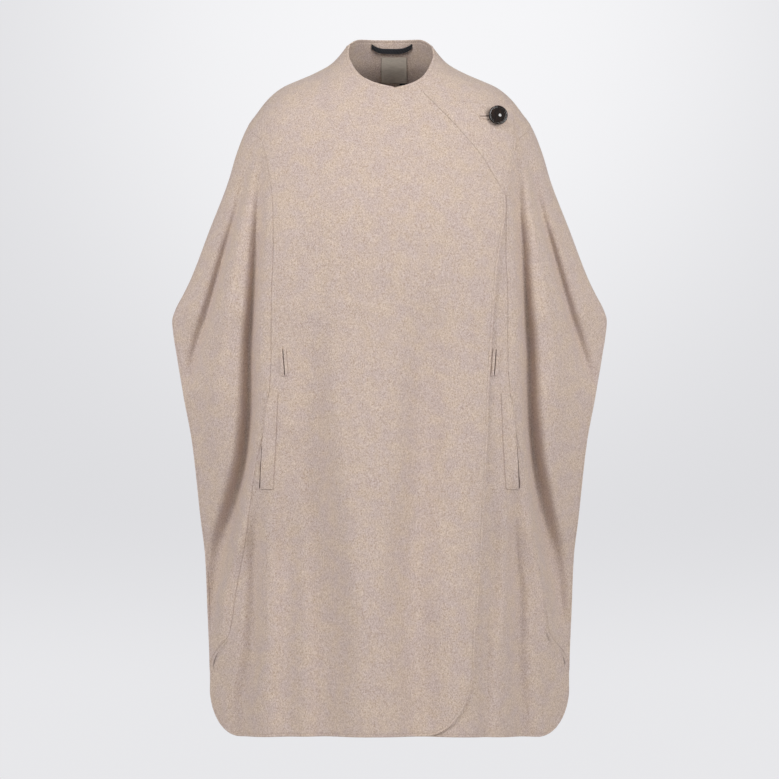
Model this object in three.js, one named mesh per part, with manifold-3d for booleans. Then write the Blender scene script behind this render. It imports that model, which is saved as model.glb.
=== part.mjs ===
// A wool cape as it is worn: funnel collar, a wide right front that wraps over to the left
// shoulder, one big button, belt slits and welt pockets. The cloth is a thin wall round a hollow.
// Millimetres, +Z up. The front faces -Y and the wearer's left is +X.
// The origin is the middle of the base of the neck, where the wearer carries the cape.

import * as THREE from "three";
import { mergeVertices } from "three/addons/utils/BufferGeometryUtils.js";
import Module from "manifold-3d";

const { Vector2, Vector3 } = THREE;
const wasm = await Module();
wasm.setup();

// Driving sizes
const CLOTH = 2.4; // thickness of the double-faced wool
const SEAM = 0.3; // gap between two pieces at a seam
const SEAM_SHIFT = 0.25; // how far each edge of a slanted seam steps back, measured across
const LAYER_AIR = 1.8; // air between the two fronts where they overlap
const TRIM_AIR = 0.5; // air under a strip that lies on a panel
const LABEL_AIR = 0.9; // the same inside the collar, where the cloth curves more
const WRAP_LIFT = CLOTH + LAYER_AIR; // how far the top front stands out over the under front

const COLLAR_BACK = 85; // height of the collar at the middle of the back
const COLLAR_SIDE = 72; // height of the collar where the shoulder seam meets it
const HEM = -1094; // height of the hem at the sides and the back
const HEM_RISE = 9; // how much the front hem is lifted at the middle
const HEM_CORNER = { across: 54, up: 82 }; // rounded lower corners at the sides
const WRAP_CORNER = { across: 80, up: 120 }; // rounded lower corner of the wrapped front
const V_POINT = 0.03; // share of the half width where the two necklines cross
const UNDER_EDGE = -80; // hidden free edge of the under front
const UNDER_SHARE = -0.44; // the same edge above the neckline, as a share of the half width
const UNDER_LOWER = 3; // how much lower than the top front its hidden corner is cut
const BODY_POWER = 2.4; // how flat the body part of a section is
const BODY_FALL = 1.2; // how softly it falls away to the side
const BACK_FLAT = 14; // how flat the top of the collar is at the back
const CREASE_FADE = { from: 0.05, to: 0.4 }; // cosine of the angle where creases die out
const LIFT_EASE = { from: 45, to: 6 }; // distance over which the top front rises off the body
const LIFT_TOP = { from: 6, to: 26 }; // heights between which it comes back to the collar
const BACK_LEAN = { x: 8, from: -300, to: 80 }; // the back seam leans to the left at the collar
const SLACK = 0.5; // a row this close to the end of a seam counts as on it
const HALVINGS = 40; // steps in the search for the height of an edge
const WELD = 1e-4; // points closer than this are one point

// Sections from the hem up to the collar. half: half width. power, side: shape and half depth of
// the rounded side. front, back: depth at the middle. open: half the gap between the side edges.
const SECTIONS = [
  { z: -1120, half: 303, power: 6.0, side: 8, front: 172, back: 176, open: 28 },
  { z: -1009, half: 303, power: 6.0, side: 8, front: 168, back: 170, open: 24 },
  { z: -874, half: 308, power: 6.0, side: 8, front: 163, back: 164, open: 12 },
  { z: -791, half: 312, power: 6.0, side: 8, front: 160, back: 161, open: 1 },
  { z: -730, half: 319, power: 6.0, side: 8, front: 158, back: 159, open: 10 },
  { z: -600, half: 333, power: 6.0, side: 9, front: 155, back: 156, open: 22 },
  { z: -515, half: 349, power: 6.0, side: 10, front: 153, back: 155, open: 18 },
  { z: -456, half: 359, power: 6.0, side: 12, front: 152, back: 154, open: 9 },
  { z: -412, half: 366, power: 6.0, side: 15, front: 152, back: 153, open: 1 },
  { z: -394, half: 367.5, power: 6.0, side: 18, front: 152, back: 153, open: 0 },
  { z: -375, half: 362, power: 6.0, side: 25, front: 153, back: 153, open: 0 },
  { z: -348, half: 348, power: 6.0, side: 34, front: 153, back: 153, open: 0 },
  { z: -321, half: 335, power: 6.0, side: 42, front: 154, back: 152, open: 0 },
  { z: -240, half: 304, power: 6.0, side: 53, front: 152, back: 150, open: 0 },
  { z: -160, half: 273, power: 6.0, side: 58, front: 138, back: 145, open: 0 },
  { z: -110, half: 258, power: 6.4, side: 60, front: 124, back: 137, open: 0 },
  { z: -66, half: 240, power: 6.8, side: 60, front: 110, back: 127, open: 0 },
  { z: -43, half: 224, power: 6.8, side: 57, front: 102, back: 119, open: 0 },
  { z: -19, half: 205, power: 6.4, side: 50, front: 91, back: 107, open: 0 },
  { z: 0, half: 182, power: 5.2, side: 42, front: 80, back: 96, open: 0 },
  { z: 12, half: 156, power: 4.4, side: 39, front: 74, back: 88, open: 0 },
  { z: 22, half: 132, power: 3.8, side: 38, front: 70, back: 81, open: 0 },
  { z: 40, half: 99, power: 2.8, side: 41, front: 63, back: 70, open: 0 },
  { z: 54, half: 85, power: 2.4, side: 46, front: 60, back: 65, open: 0 },
  { z: 70, half: 73, power: 2.1, side: 50, front: 56, back: 60, open: 0 },
  { z: 90, half: 61, power: 2.0, side: 50, front: 53, back: 56, open: 0 },
];

// Neckline of either front. out: share of the half width, measured from the V. z: height.
const NECKLINE = [
  { out: 0.0, z: -4 },
  { out: 0.05, z: -2 },
  { out: 0.12, z: 1 },
  { out: 0.2, z: 5.5 },
  { out: 0.31, z: 13 },
  { out: 0.48, z: 26 },
  { out: 0.66, z: 39 },
  { out: 0.81, z: 50.5 },
  { out: 0.94, z: 66 },
  { out: 0.97, z: COLLAR_SIDE },
];

// Upper edge of the wrapped front, from the V out to the shoulder, in the same two columns.
const WRAP_TOP = [
  { out: 0.0, z: -4 },
  { out: 0.02, z: -6.8 },
  { out: 0.11, z: -10 },
  { out: 0.25, z: -13.5 },
  { out: 0.455, z: -22 },
  { out: 0.59, z: -25 },
  { out: 0.76, z: -28 },
  { out: 0.95, z: -33 },
];

// Pocket seam between a front and its side panel, from the shoulder to the lower corner.
const POCKET_SEAM = [
  { z: -1005, x: 303 },
  { z: -985, x: 292 },
  { z: -920, x: 269 },
  { z: -843, x: 257 },
  { z: -773, x: 243.5 },
  { z: -702, x: 233 },
  { z: -633, x: 222.5 },
  { z: -575, x: 209 },
  { z: -514, x: 201 },
  { z: -460, x: 197.5 },
  { z: -360, x: 197 },
  { z: -277, x: 194 },
  { z: -200, x: 195 },
  { z: -150, x: 201 },
  { z: -110, x: 210 },
  { z: -80, x: 217.5 },
  { z: -60, x: 223 },
  { z: -46, x: 228 },
];
const POCKET_SEAM_TOP = -46;
const POCKET_SEAM_END = -1005;
// Angle that is left of a side panel at its two points, in radians.
const SEAM_RUNOUT = { top: 0.015, end: 0.03 };

// Right edge of the wrapped front: the slanted flap seam first, then its free edge.
const WRAP_EDGE = [
  { z: -1100, x: 137 },
  { z: -1000, x: 139 },
  { z: -926, x: 141.5 },
  { z: -846, x: 148.5 },
  { z: -748, x: 154.5 },
  { z: -599, x: 162.5 },
  { z: -510, x: 165.5 },
  { z: -407, x: 171.5 },
  { z: -300, x: 180 },
  { z: -237, x: 189.5 },
  { z: -205, x: 193 },
  { z: -190, x: 192.5 },
  { z: -154, x: 173 },
  { z: -125, x: 156 },
  { z: -78, x: 117.5 },
  { z: -49, x: 91 },
  { z: -14, x: 56 },
];
const FLAP_POINT = -190; // height where the flap runs out to its lower point

// Outer edge of the flap, beside the button.
const FLAP_EDGE = [
  { z: -190, x: 194 },
  { z: -156, x: 200 },
  { z: -108, x: 209 },
  { z: -74, x: 211 },
  { z: -50, x: 210 },
  { z: -36, x: 206 },
  { z: -20, x: 197 },
];

// Creases of the cloth. right, left: distance from the middle on the wearer's right and left.
// deep: how far a crease sinks, or stands out when negative. wide: how far from its middle it has
// sunk to about a third.

// Valley between the body and the arm.
const ARM_VALLEY = [
  { z: -905, right: 299, left: 290, deep: 0, wide: 18 },
  { z: -865, right: 296, left: 287, deep: 7, wide: 18 },
  { z: -781, right: 289, left: 279, deep: 18, wide: 20 },
  { z: -696, right: 273, left: 263, deep: 32, wide: 19 },
  { z: -612, right: 255.5, left: 248, deep: 34, wide: 17 },
  { z: -527, right: 245.5, left: 239.5, deep: 32, wide: 15 },
  { z: -443, right: 242.5, left: 236.5, deep: 30, wide: 14 },
  { z: -358, right: 235, left: 230, deep: 26, wide: 13 },
  { z: -274, right: 229, left: 222.5, deep: 19, wide: 12 },
  { z: -206, right: 226, left: 217, deep: 12, wide: 11 },
  { z: -139, right: 223.5, left: 214, deep: 5, wide: 10 },
  { z: -100, right: 220, left: 211, deep: 0, wide: 10 },
];

// Slanting valley from the shoulder to the side edge below the elbow.
const ELBOW_VALLEY = [
  { z: -515, right: 346, left: 338, deep: 0, wide: 13 },
  { z: -477, right: 336, left: 330, deep: 6, wide: 13 },
  { z: -443, right: 327, left: 321.5, deep: 12, wide: 13 },
  { z: -358, right: 305.5, left: 298.5, deep: 17, wide: 11 },
  { z: -274, right: 282, left: 275, deep: 15, wide: 10 },
  { z: -206, right: 262, left: 254, deep: 10, wide: 9 },
  { z: -139, right: 245, left: 236, deep: 4, wide: 8 },
  { z: -100, right: 234, left: 226, deep: 0, wide: 8 },
];

// Ridge along the arm between the two valleys.
const ARM_RIDGE = [
  { z: -640, right: 300, left: 290, deep: 0, wide: 18 },
  { z: -520, right: 290, left: 282, deep: -5, wide: 18 },
  { z: -420, right: 282, left: 275, deep: -6, wide: 16 },
  { z: -358, right: 272, left: 265, deep: -6, wide: 13 },
  { z: -274, right: 256, left: 249, deep: -5, wide: 10 },
  { z: -206, right: 244, left: 236, deep: -3, wide: 8 },
  { z: -140, right: 234, left: 226, deep: 0, wide: 8 },
];

// Soft fold below the pocket.
const POCKET_FOLD = [
  { z: -1100, right: 248, left: 223, deep: 9, wide: 20 },
  { z: -1034, right: 244, left: 220, deep: 11, wide: 19 },
  { z: -950, right: 230, left: 215, deep: 12, wide: 18 },
  { z: -865, right: 226, left: 216, deep: 11, wide: 16 },
  { z: -781, right: 224, left: 210, deep: 8, wide: 14 },
  { z: -700, right: 221, left: 208, deep: 3, wide: 13 },
  { z: -660, right: 219, left: 207, deep: 0, wide: 13 },
];

// Broad fall of the front on the wearer's right.
const RIGHT_FALL = [
  { z: -1100, right: 106, deep: 14, wide: 36 },
  { z: -1034, right: 106, deep: 15, wide: 36 },
  { z: -950, right: 102, deep: 17, wide: 36 },
  { z: -865, right: 104, deep: 18, wide: 34 },
  { z: -781, right: 112, deep: 18, wide: 34 },
  { z: -696, right: 118, deep: 17, wide: 32 },
  { z: -612, right: 126, deep: 15, wide: 30 },
  { z: -527, right: 129, deep: 11, wide: 28 },
  { z: -443, right: 126, deep: 4, wide: 26 },
  { z: -390, right: 124, deep: 0, wide: 26 },
];

// Lower fall beside it, towards the pocket.
const POCKET_FALL = [
  { z: -1100, right: 166, deep: 6, wide: 26 },
  { z: -950, right: 166, deep: 9, wide: 26 },
  { z: -865, right: 165, deep: 11, wide: 25 },
  { z: -781, right: 164, deep: 11, wide: 24 },
  { z: -696, right: 163, deep: 8, wide: 22 },
  { z: -612, right: 163, deep: 3, wide: 20 },
  { z: -570, right: 163, deep: 0, wide: 20 },
];

// Broad fall of the front a little left of the middle.
const LEFT_FALL = [
  { z: -1100, left: 52, deep: 10, wide: 38 },
  { z: -1034, left: 50, deep: 12, wide: 38 },
  { z: -950, left: 45, deep: 13, wide: 38 },
  { z: -865, left: 37, deep: 14, wide: 37 },
  { z: -781, left: 41, deep: 13, wide: 38 },
  { z: -696, left: 51, deep: 12, wide: 37 },
  { z: -612, left: 56, deep: 12, wide: 36 },
  { z: -527, left: 59, deep: 10, wide: 34 },
  { z: -443, left: 62, deep: 6, wide: 32 },
  { z: -340, left: 62, deep: 0, wide: 30 },
];

// Valley between the back and the arm.
const BACK_ARM_VALLEY = [
  { z: -840, right: 302, left: 296, deep: 0, wide: 18 },
  { z: -700, right: 272, left: 264, deep: 12, wide: 20 },
  { z: -520, right: 246, left: 238, deep: 17, wide: 20 },
  { z: -380, right: 237, left: 229, deep: 15, wide: 19 },
  { z: -260, right: 230, left: 223, deep: 8, wide: 17 },
  { z: -140, right: 220, left: 216, deep: 0, wide: 14 },
];

// Soft fall of the back below the shoulder blades.
const BACK_FALL = [
  { z: -1100, right: 92, left: 82, deep: 15, wide: 36 },
  { z: -800, right: 88, left: 80, deep: 13, wide: 34 },
  { z: -560, right: 92, left: 86, deep: 8, wide: 30 },
  { z: -380, right: 94, left: 90, deep: 0, wide: 26 },
];

// Lower fold towards the side.
const BACK_SIDE_FOLD = [
  { z: -1100, right: 200, left: 192, deep: 9, wide: 22 },
  { z: -900, right: 192, left: 184, deep: 8, wide: 22 },
  { z: -720, right: 186, left: 182, deep: 0, wide: 20 },
];

const CREASES = {
  front: [
    ARM_VALLEY, ELBOW_VALLEY, ARM_RIDGE, POCKET_FOLD, RIGHT_FALL, POCKET_FALL, LEFT_FALL,
  ],
  back: [BACK_ARM_VALLEY, BACK_FALL, BACK_SIDE_FOLD],
};
const SIGNS = { right: -1, left: 1 };

// Rows of the mesh down the shoulder seam and the side edge.
const ROW_SPANS = [
  { to: 0, steps: 5 },
  { to: POCKET_SEAM_TOP, steps: 3 },
  { to: -115, steps: 3 },
  { to: -394, steps: 8 },
  { to: -791, steps: 8 },
  { to: POCKET_SEAM_END, steps: 5 },
  { to: HEM + HEM_CORNER.up, steps: 1 },
];

// Pocket welt: its inner and outer edge.
const POCKET_WELT = [
  { z: -676, inner: 194, outer: 215 },
  { z: -630, inner: 191, outer: 212.5 },
  { z: -588, inner: 188.5, outer: 209.5 },
  { z: -536, inner: 186.5, outer: 204 },
  { z: -515, inner: 185.5, outer: 199 },
];

// Belt slit: the line where its two lips meet.
const SLIT = [
  { z: -487, x: 174 },
  { z: -441, x: 177.5 },
];
const SLIT_LIP = 5; // width of one lip
const SLIT_MOUTH = 1.2; // width of the cut between the lips
const SLIT_LIP_CLOTH = 1.6; // cloth of a lip
const SLIT_INSET = 2; // the cut ends this far inside the lips
const SLIT_REACH = 60; // length of the cutter, front to back

const BUTTON = { x: 178, z: -54, radius: 16.4, shank: 1.5, stand: 6, tilt: 0.4, foot: 0.4 };
const BUTTON_SIDES = 24; // facets round the button
const SHANK_SIDES = 12; // facets round its shank

// Outline of the button from the middle of its back over the rim to its dome.
// out: share of the radius. up: height above its back.
const BUTTON_PROFILE = [
  { out: 0, up: 0 },
  { out: 0.45, up: 0.3 },
  { out: 0.8, up: 1.6 },
  { out: 0.97, up: 3 },
  { out: 1, up: 4.2 },
  { out: 0.94, up: 5.2 },
  { out: 0.82, up: 5.5 },
  { out: 0.76, up: 5.2 },
  { out: 0.55, up: 6.9 },
  { out: 0.3, up: 7.9 },
  { out: 0, up: 8.2 },
];
const BUTTONHOLE = {
  from: 149.5,
  to: 178,
  slot: 1.2,
  eye: 3,
  lip: 3.2,
  lipEnd: 166,
  lipCloth: 1.4,
  reach: 24, // length of the cutter
};
const LABEL = { left: -14, right: 30, top: 57, bottom: 15, thick: 0.8 };
const SIZE_TAB = { left: 17, right: 33, top: 14.5, bottom: 3, thick: 0.8 };
const LOOP = { left: -32, right: 40, top: 79, drop: 7, width: 8, thick: 1.6, sag: 6 };

// A smooth curve through one column of a table, with no overshoot between its rows.
function curve(rows, column, along = "z") {
  const t = rows.map((row) => row[along]);
  const v = rows.map((row) => row[column]);
  const last = t.length - 1;
  const slope = t.slice(1).map((_, i) => (v[i + 1] - v[i]) / (t[i + 1] - t[i]));
  const tangent = t.map((_, i) => {
    if (i === 0) return slope[0];
    if (i === last) return slope[last - 1];
    if (slope[i - 1] * slope[i] <= 0) return 0;
    return (2 * slope[i - 1] * slope[i]) / (slope[i - 1] + slope[i]);
  });
  return (at) => {
    if (at <= t[0]) return v[0];
    if (at >= t[last]) return v[last];
    const i = t.findIndex((value) => value > at) - 1;
    const step = t[i + 1] - t[i];
    const s = (at - t[i]) / step;
    const start = v[i] * (1 + 2 * s) * (1 - s) ** 2 + v[i + 1] * s ** 2 * (3 - 2 * s);
    return start + step * (tangent[i] * s * (1 - s) ** 2 - tangent[i + 1] * s ** 2 * (1 - s));
  };
}

const clamp = THREE.MathUtils.clamp;
const smooth = THREE.MathUtils.smoothstep;
const section = {};
for (const column of ["half", "power", "side", "front", "back", "open"]) {
  section[column] = curve(SECTIONS, column);
}
const neckline = curve(NECKLINE, "z", "out");
const wrapTop = curve(WRAP_TOP, "z", "out");
const pocketSeam = curve(POCKET_SEAM, "x");
const wrapEdge = curve(WRAP_EDGE, "x");
const flapEdge = curve(FLAP_EDGE, "x");

function readCreases(list) {
  return list.flatMap((rows) => {
    const deep = curve(rows, "deep");
    const wide = curve(rows, "wide");
    const hands = Object.keys(SIGNS).filter((hand) => hand in rows[0]);
    return hands.map((hand) => {
      const out = curve(rows, hand);
      return { x: (z) => SIGNS[hand] * out(z), deep, wide };
    });
  });
}
const creases = { front: readCreases(CREASES.front), back: readCreases(CREASES.back) };

// The smooth form before creases. theta runs from -90 degrees at the wearer's right side to +90
// degrees at the left; at both ends the front and the back meet, a seam gap apart.
function form(face, theta, z) {
  const across = Math.sin(theta);
  const share = Math.min(Math.abs(across), 1);
  const side = section.side(z);
  const open = section.open(z);
  const rounded = side * Math.sqrt(1 - share ** section.power(z));
  const body = (section[face](z) - side - open) * (1 - share ** BODY_POWER) ** BODY_FALL;
  const depth = SEAM / 2 + open + rounded + body;
  return new Vector3(section.half(z) * across, face === "front" ? -depth : depth, z);
}

// Outward normal of a surface given as a function of theta and z.
function normalOf(surface, face, theta, z) {
  const quarter = Math.PI / 2;
  const reach = 0.004;
  const rise = 0.6;
  const right = surface(Math.min(theta + reach, quarter), z);
  const left = surface(Math.max(theta - reach, -quarter), z);
  const sideways = right.sub(left);
  const upwards = surface(theta, z + rise).sub(surface(theta, z - rise));
  const normal = sideways.cross(upwards).normalize();
  return face === "front" ? normal : normal.negate();
}

// How far the creases sink at a place. They die out where the cloth turns round the side, so that
// the outline stays that of the sections.
function creaseDepth(face, theta, z) {
  const x = section.half(z) * Math.sin(theta);
  const fade = smooth(Math.cos(theta), CREASE_FADE.from, CREASE_FADE.to);
  let deep = 0;
  for (const crease of creases[face]) {
    deep += crease.deep(z) * Math.exp(-(((x - crease.x(z)) / crease.wide(z)) ** 2));
  }
  return deep * fade;
}

// A point of the outer face of a layer that stands out by lift.
function layerPoint(face, theta, z, lift) {
  const bare = (t, h) => form(face, t, h);
  const normal = normalOf(bare, face, theta, z);
  return bare(theta, z).addScaledVector(normal, lift - creaseDepth(face, theta, z));
}

// Angle of a distance x from the middle.
function angleAt(x, z) {
  return Math.asin(clamp(x / section.half(z), -1, 1));
}

// The height where a column crosses an edge. height(theta, z) gives the edge there.
function crossing(theta, height, low, high) {
  let under = low;
  let over = high;
  for (let i = 0; i < HALVINGS; i += 1) {
    const z = (under + over) / 2;
    if (z < height(theta(z), z)) under = z;
    else over = z;
  }
  return (under + over) / 2;
}

// Shares of the way down from the top edge to the hem, one for each row of the mesh.
function rowShares() {
  const heights = [COLLAR_SIDE];
  for (const { to, steps } of ROW_SPANS) {
    const from = heights[heights.length - 1];
    for (let i = 1; i <= steps; i += 1) heights.push(from + ((to - from) * i) / steps);
  }
  const end = heights[heights.length - 1];
  return heights.map((z) => (COLLAR_SIDE - z) / (COLLAR_SIDE - end));
}
const ROWS = rowShares();
const SIDE_END = HEM + HEM_CORNER.up;
const seamHeights = ROWS.map((share) => COLLAR_SIDE + share * (SIDE_END - COLLAR_SIDE));

// A closed wall from a grid of outer and inner points, both outer[row][column].
function wall(outer, inner) {
  const rows = outer.length;
  const columns = outer[0].length;
  const points = [...outer.flat(), ...inner.flat()];
  const index = [];
  const at = (layer, i, j) => layer * rows * columns + i * columns + j;
  const quad = (a, b, c, d) => {
    const even = points[a].distanceTo(points[c]) <= points[b].distanceTo(points[d]);
    if (even) index.push(a, b, c, a, c, d);
    else index.push(b, c, d, b, d, a);
  };
  for (let i = 0; i < rows - 1; i += 1) {
    for (let j = 0; j < columns - 1; j += 1) {
      quad(at(0, i, j), at(0, i + 1, j), at(0, i + 1, j + 1), at(0, i, j + 1));
      quad(at(1, i, j), at(1, i, j + 1), at(1, i + 1, j + 1), at(1, i + 1, j));
    }
  }
  for (let i = 0; i < rows - 1; i += 1) {
    const end = columns - 1;
    quad(at(0, i, 0), at(1, i, 0), at(1, i + 1, 0), at(0, i + 1, 0));
    quad(at(0, i, end), at(0, i + 1, end), at(1, i + 1, end), at(1, i, end));
  }
  for (let j = 0; j < columns - 1; j += 1) {
    const end = rows - 1;
    quad(at(0, 0, j), at(0, 0, j + 1), at(1, 0, j + 1), at(1, 0, j));
    quad(at(0, end, j), at(1, end, j), at(1, end, j + 1), at(0, end, j + 1));
  }
  const geometry = new THREE.BufferGeometry().setFromPoints(points);
  geometry.setIndex(index);
  return geometry;
}

// One cut piece of cloth on a face of the cape. left and right give the angle of its side edges at
// a height; top and bottom give the height of its other two edges for a column.
// crowd above 1 brings the columns closer together towards the right edge.
function piece({ face, left, right, top, bottom, columns, crowd = 1, shares = ROWS, lift, thick }) {
  const rise = lift ?? (() => 0);
  const depth = thick ?? CLOTH;
  const outer = shares.map(() => []);
  const inner = shares.map(() => []);
  for (let j = 0; j <= columns; j += 1) {
    const across = 1 - (1 - j / columns) ** crowd;
    const theta = (z) => THREE.MathUtils.lerp(left(z), right(z), across);
    const from = top(theta);
    const to = bottom(theta);
    shares.forEach((share, i) => {
      const z = from + share * (to - from);
      const surface = (t, h) => layerPoint(face, t, h, rise(t, h));
      const point = surface(theta(z), z);
      const normal = normalOf(surface, face, theta(z), z);
      const back = point.clone().addScaledVector(normal, -depth);
      // At the side seams the inner edge is mitred, so that front and back keep their gap.
      back.y = face === "front" ? Math.min(back.y, -SEAM / 2) : Math.max(back.y, SEAM / 2);
      outer[i].push(point);
      inner[i].push(back);
    });
  }
  if (face === "back") {
    for (const rows of [outer, inner]) rows.forEach((row) => row.reverse());
  }
  return wall(outer, inner);
}

// Edges
const rightSide = () => -Math.PI / 2;
const leftSide = () => Math.PI / 2;

// How far a rounded corner lifts the hem, at a distance from the edge that it meets.
function cornerRise(corner, distance) {
  const inward = clamp((corner.across - distance) / corner.across, 0, 1);
  return corner.up * (1 - Math.sqrt(1 - inward ** 2));
}

function hemHeight(face, theta, z) {
  const share = Math.abs(Math.sin(theta));
  const rise = face === "front" ? HEM_RISE * (1 - share ** 2) : 0;
  return HEM + rise + cornerRise(HEM_CORNER, section.half(z) * (1 - share));
}

function wrapHemHeight(theta, z) {
  const distance = wrapEdge(z) - section.half(z) * Math.sin(theta);
  return hemHeight("front", theta, z) + cornerRise(WRAP_CORNER, distance);
}

const TOP_SEARCH = [-120, 100];
const HEM_SEARCH = [-1150, -900];
const frontTop = (theta) => {
  const height = (t) => {
    const out = Math.sin(t) - V_POINT;
    return out < 0 ? neckline(-out) : wrapTop(out);
  };
  return crossing(theta, height, ...TOP_SEARCH);
};
const underTop = (theta) => {
  const height = (t) => {
    const out = Math.sin(t) - V_POINT;
    return out > 0 ? neckline(out) : wrapTop(-out) - UNDER_LOWER;
  };
  return crossing(theta, height, ...TOP_SEARCH);
};
const backTop = (theta) => {
  const height = (t) => COLLAR_BACK - (COLLAR_BACK - COLLAR_SIDE) * Math.sin(t) ** BACK_FLAT;
  return crossing(theta, height, ...TOP_SEARCH);
};
const hem = (face) => (theta) => crossing(theta, (t, z) => hemHeight(face, t, z), ...HEM_SEARCH);
const wrapHem = (theta) => crossing(theta, wrapHemHeight, ...HEM_SEARCH);

// Angle of the pocket seam, or of the side where the seam has run out to it.
function pocketSeamAngle(z, shift) {
  if (z > POCKET_SEAM_TOP + SLACK || z < POCKET_SEAM_END - SLACK) return Math.PI / 2;
  const left = z > (POCKET_SEAM_TOP + POCKET_SEAM_END) / 2 ? SEAM_RUNOUT.top : SEAM_RUNOUT.end;
  return Math.min(angleAt(pocketSeam(z) + shift, z), Math.PI / 2 - left);
}

// The top front stands out only where the under front lies below it.
function wrapLift(theta, z) {
  const x = section.half(z) * Math.sin(theta);
  const over = smooth(x, UNDER_EDGE - LIFT_EASE.from, UNDER_EDGE - LIFT_EASE.to);
  return WRAP_LIFT * over * (1 - smooth(z, LIFT_TOP.from, LIFT_TOP.to));
}

// Rows of the wrapped front down its right edge; the flap shares those above its lower point.
const wrapEdgeAngle = (z) => angleAt(wrapEdge(z), z);
const wrapEdgeTop = frontTop(wrapEdgeAngle);
const wrapEdgeEnd = wrapHem(wrapEdgeAngle);
const wrapRows = ROWS.map((share) => wrapEdgeTop + share * (wrapEdgeEnd - wrapEdgeTop));
const flapRows = wrapRows.filter((z) => z > FLAP_POINT);
const FLAP_END = flapRows[flapRows.length - 1];

function makeFronts() {
  const right = piece({
    face: "front",
    left: (z) => -pocketSeamAngle(z, -SEAM_SHIFT),
    right: (z) => angleAt(wrapEdge(z) - (z > FLAP_END - 1 ? SEAM_SHIFT : 0), z),
    top: frontTop,
    bottom: wrapHem,
    columns: 22,
    crowd: 1.25,
    lift: wrapLift,
  });
  const left = piece({
    face: "front",
    left: (z) => Math.max(angleAt(UNDER_EDGE, z), Math.asin(UNDER_SHARE)),
    right: (z) => pocketSeamAngle(z, -SEAM_SHIFT),
    top: underTop,
    bottom: hem("front"),
    columns: 16,
  });
  return { right, left };
}

function makeFlap() {
  return piece({
    face: "front",
    left: (z) => angleAt(wrapEdge(z) + SEAM_SHIFT, z),
    right: (z) => angleAt(flapEdge(z), z),
    top: frontTop,
    bottom: () => FLAP_END,
    columns: 8,
    shares: flapRows.map((z) => (wrapEdgeTop - z) / (wrapEdgeTop - FLAP_END)),
    lift: () => WRAP_LIFT,
  });
}

function makeSidePanel(sign) {
  const onSeam = (z) => z < POCKET_SEAM_TOP + SLACK && z > POCKET_SEAM_END - SLACK;
  const rows = seamHeights.filter(onSeam);
  const first = rows[0];
  const last = rows[rows.length - 1];
  const seam = (z) => pocketSeamAngle(z, SEAM_SHIFT);
  return piece({
    face: "front",
    left: sign > 0 ? seam : rightSide,
    right: sign > 0 ? leftSide : (z) => -seam(z),
    top: () => first,
    bottom: () => last,
    columns: 11,
    shares: rows.map((z) => (first - z) / (first - last)),
  });
}

const backSeam = (z) => BACK_LEAN.x * smooth(z, BACK_LEAN.from, BACK_LEAN.to);

function makeBack(sign) {
  const seam = (z) => angleAt(backSeam(z) + (sign * SEAM) / 2, z);
  return piece({
    face: "back",
    left: sign > 0 ? seam : rightSide,
    right: sign > 0 ? leftSide : seam,
    top: backTop,
    bottom: hem("back"),
    columns: 13,
  });
}

function evenShares(steps) {
  return Array.from({ length: steps + 1 }, (_, i) => i / steps);
}

// A strip of cloth that lies on a panel, between two distances from the middle.
function strip({ face = "front", from, to, top, bottom, base, thick, columns, rows }) {
  return piece({
    face,
    left: (z) => angleAt(from(z), z),
    right: (z) => angleAt(to(z), z),
    top: () => top,
    bottom: () => bottom,
    columns,
    shares: evenShares(rows),
    lift: () => base + thick,
    thick,
  });
}

function makePocketWelt(sign) {
  const inner = curve(POCKET_WELT, "inner");
  const outer = curve(POCKET_WELT, "outer");
  const near = (z) => sign * inner(z);
  const far = (z) => sign * outer(z);
  return strip({
    from: sign > 0 ? near : far,
    to: sign > 0 ? far : near,
    top: POCKET_WELT[POCKET_WELT.length - 1].z,
    bottom: POCKET_WELT[0].z,
    base: TRIM_AIR,
    thick: CLOTH,
    columns: 3,
    rows: 6,
  });
}

function makeSlitLip(sign, outward) {
  const line = curve(SLIT, "x");
  const near = (z) => sign * (line(z) + (outward * SLIT_MOUTH) / 2);
  const far = (z) => sign * (line(z) + outward * (SLIT_MOUTH / 2 + SLIT_LIP));
  const flipped = sign * outward < 0;
  return strip({
    from: flipped ? far : near,
    to: flipped ? near : far,
    top: SLIT[1].z,
    bottom: SLIT[0].z,
    base: TRIM_AIR,
    thick: SLIT_LIP_CLOTH,
    columns: 1,
    rows: 3,
  });
}

function makeButtonholeLip(upward) {
  const near = BUTTON.z + upward * (BUTTONHOLE.slot / 2);
  const far = BUTTON.z + upward * (BUTTONHOLE.slot / 2 + BUTTONHOLE.lip);
  return strip({
    from: () => BUTTONHOLE.from,
    to: () => BUTTONHOLE.lipEnd,
    top: Math.max(near, far),
    bottom: Math.min(near, far),
    base: WRAP_LIFT + TRIM_AIR,
    thick: BUTTONHOLE.lipCloth,
    columns: 4,
    rows: 1,
  });
}

function makeLabel({ left, right, top, bottom, thick }, base) {
  return strip({
    face: "back",
    from: () => left,
    to: () => right,
    top,
    bottom,
    base: -CLOTH - base - thick,
    thick,
    columns: 4,
    rows: 3,
  });
}

// The hanging loop: a tape sewn down at both ends that sags between them.
function makeLoop() {
  const middle = (LOOP.left + LOOP.right) / 2;
  const reach = (LOOP.right - LOOP.left) / 2;
  const sagAt = (theta, z) => 1 - ((section.half(z) * Math.sin(theta) - middle) / reach) ** 4;
  const height = (theta) => LOOP.top - LOOP.drop * sagAt(theta(LOOP.top), LOOP.top);
  return piece({
    face: "back",
    left: (z) => angleAt(LOOP.left, z),
    right: (z) => angleAt(LOOP.right, z),
    top: height,
    bottom: (theta) => height(theta) - LOOP.width,
    columns: 12,
    shares: evenShares(1),
    lift: (theta, z) => -CLOTH - TRIM_AIR - LOOP.sag * sagAt(theta, z),
    thick: LOOP.thick,
  });
}

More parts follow.
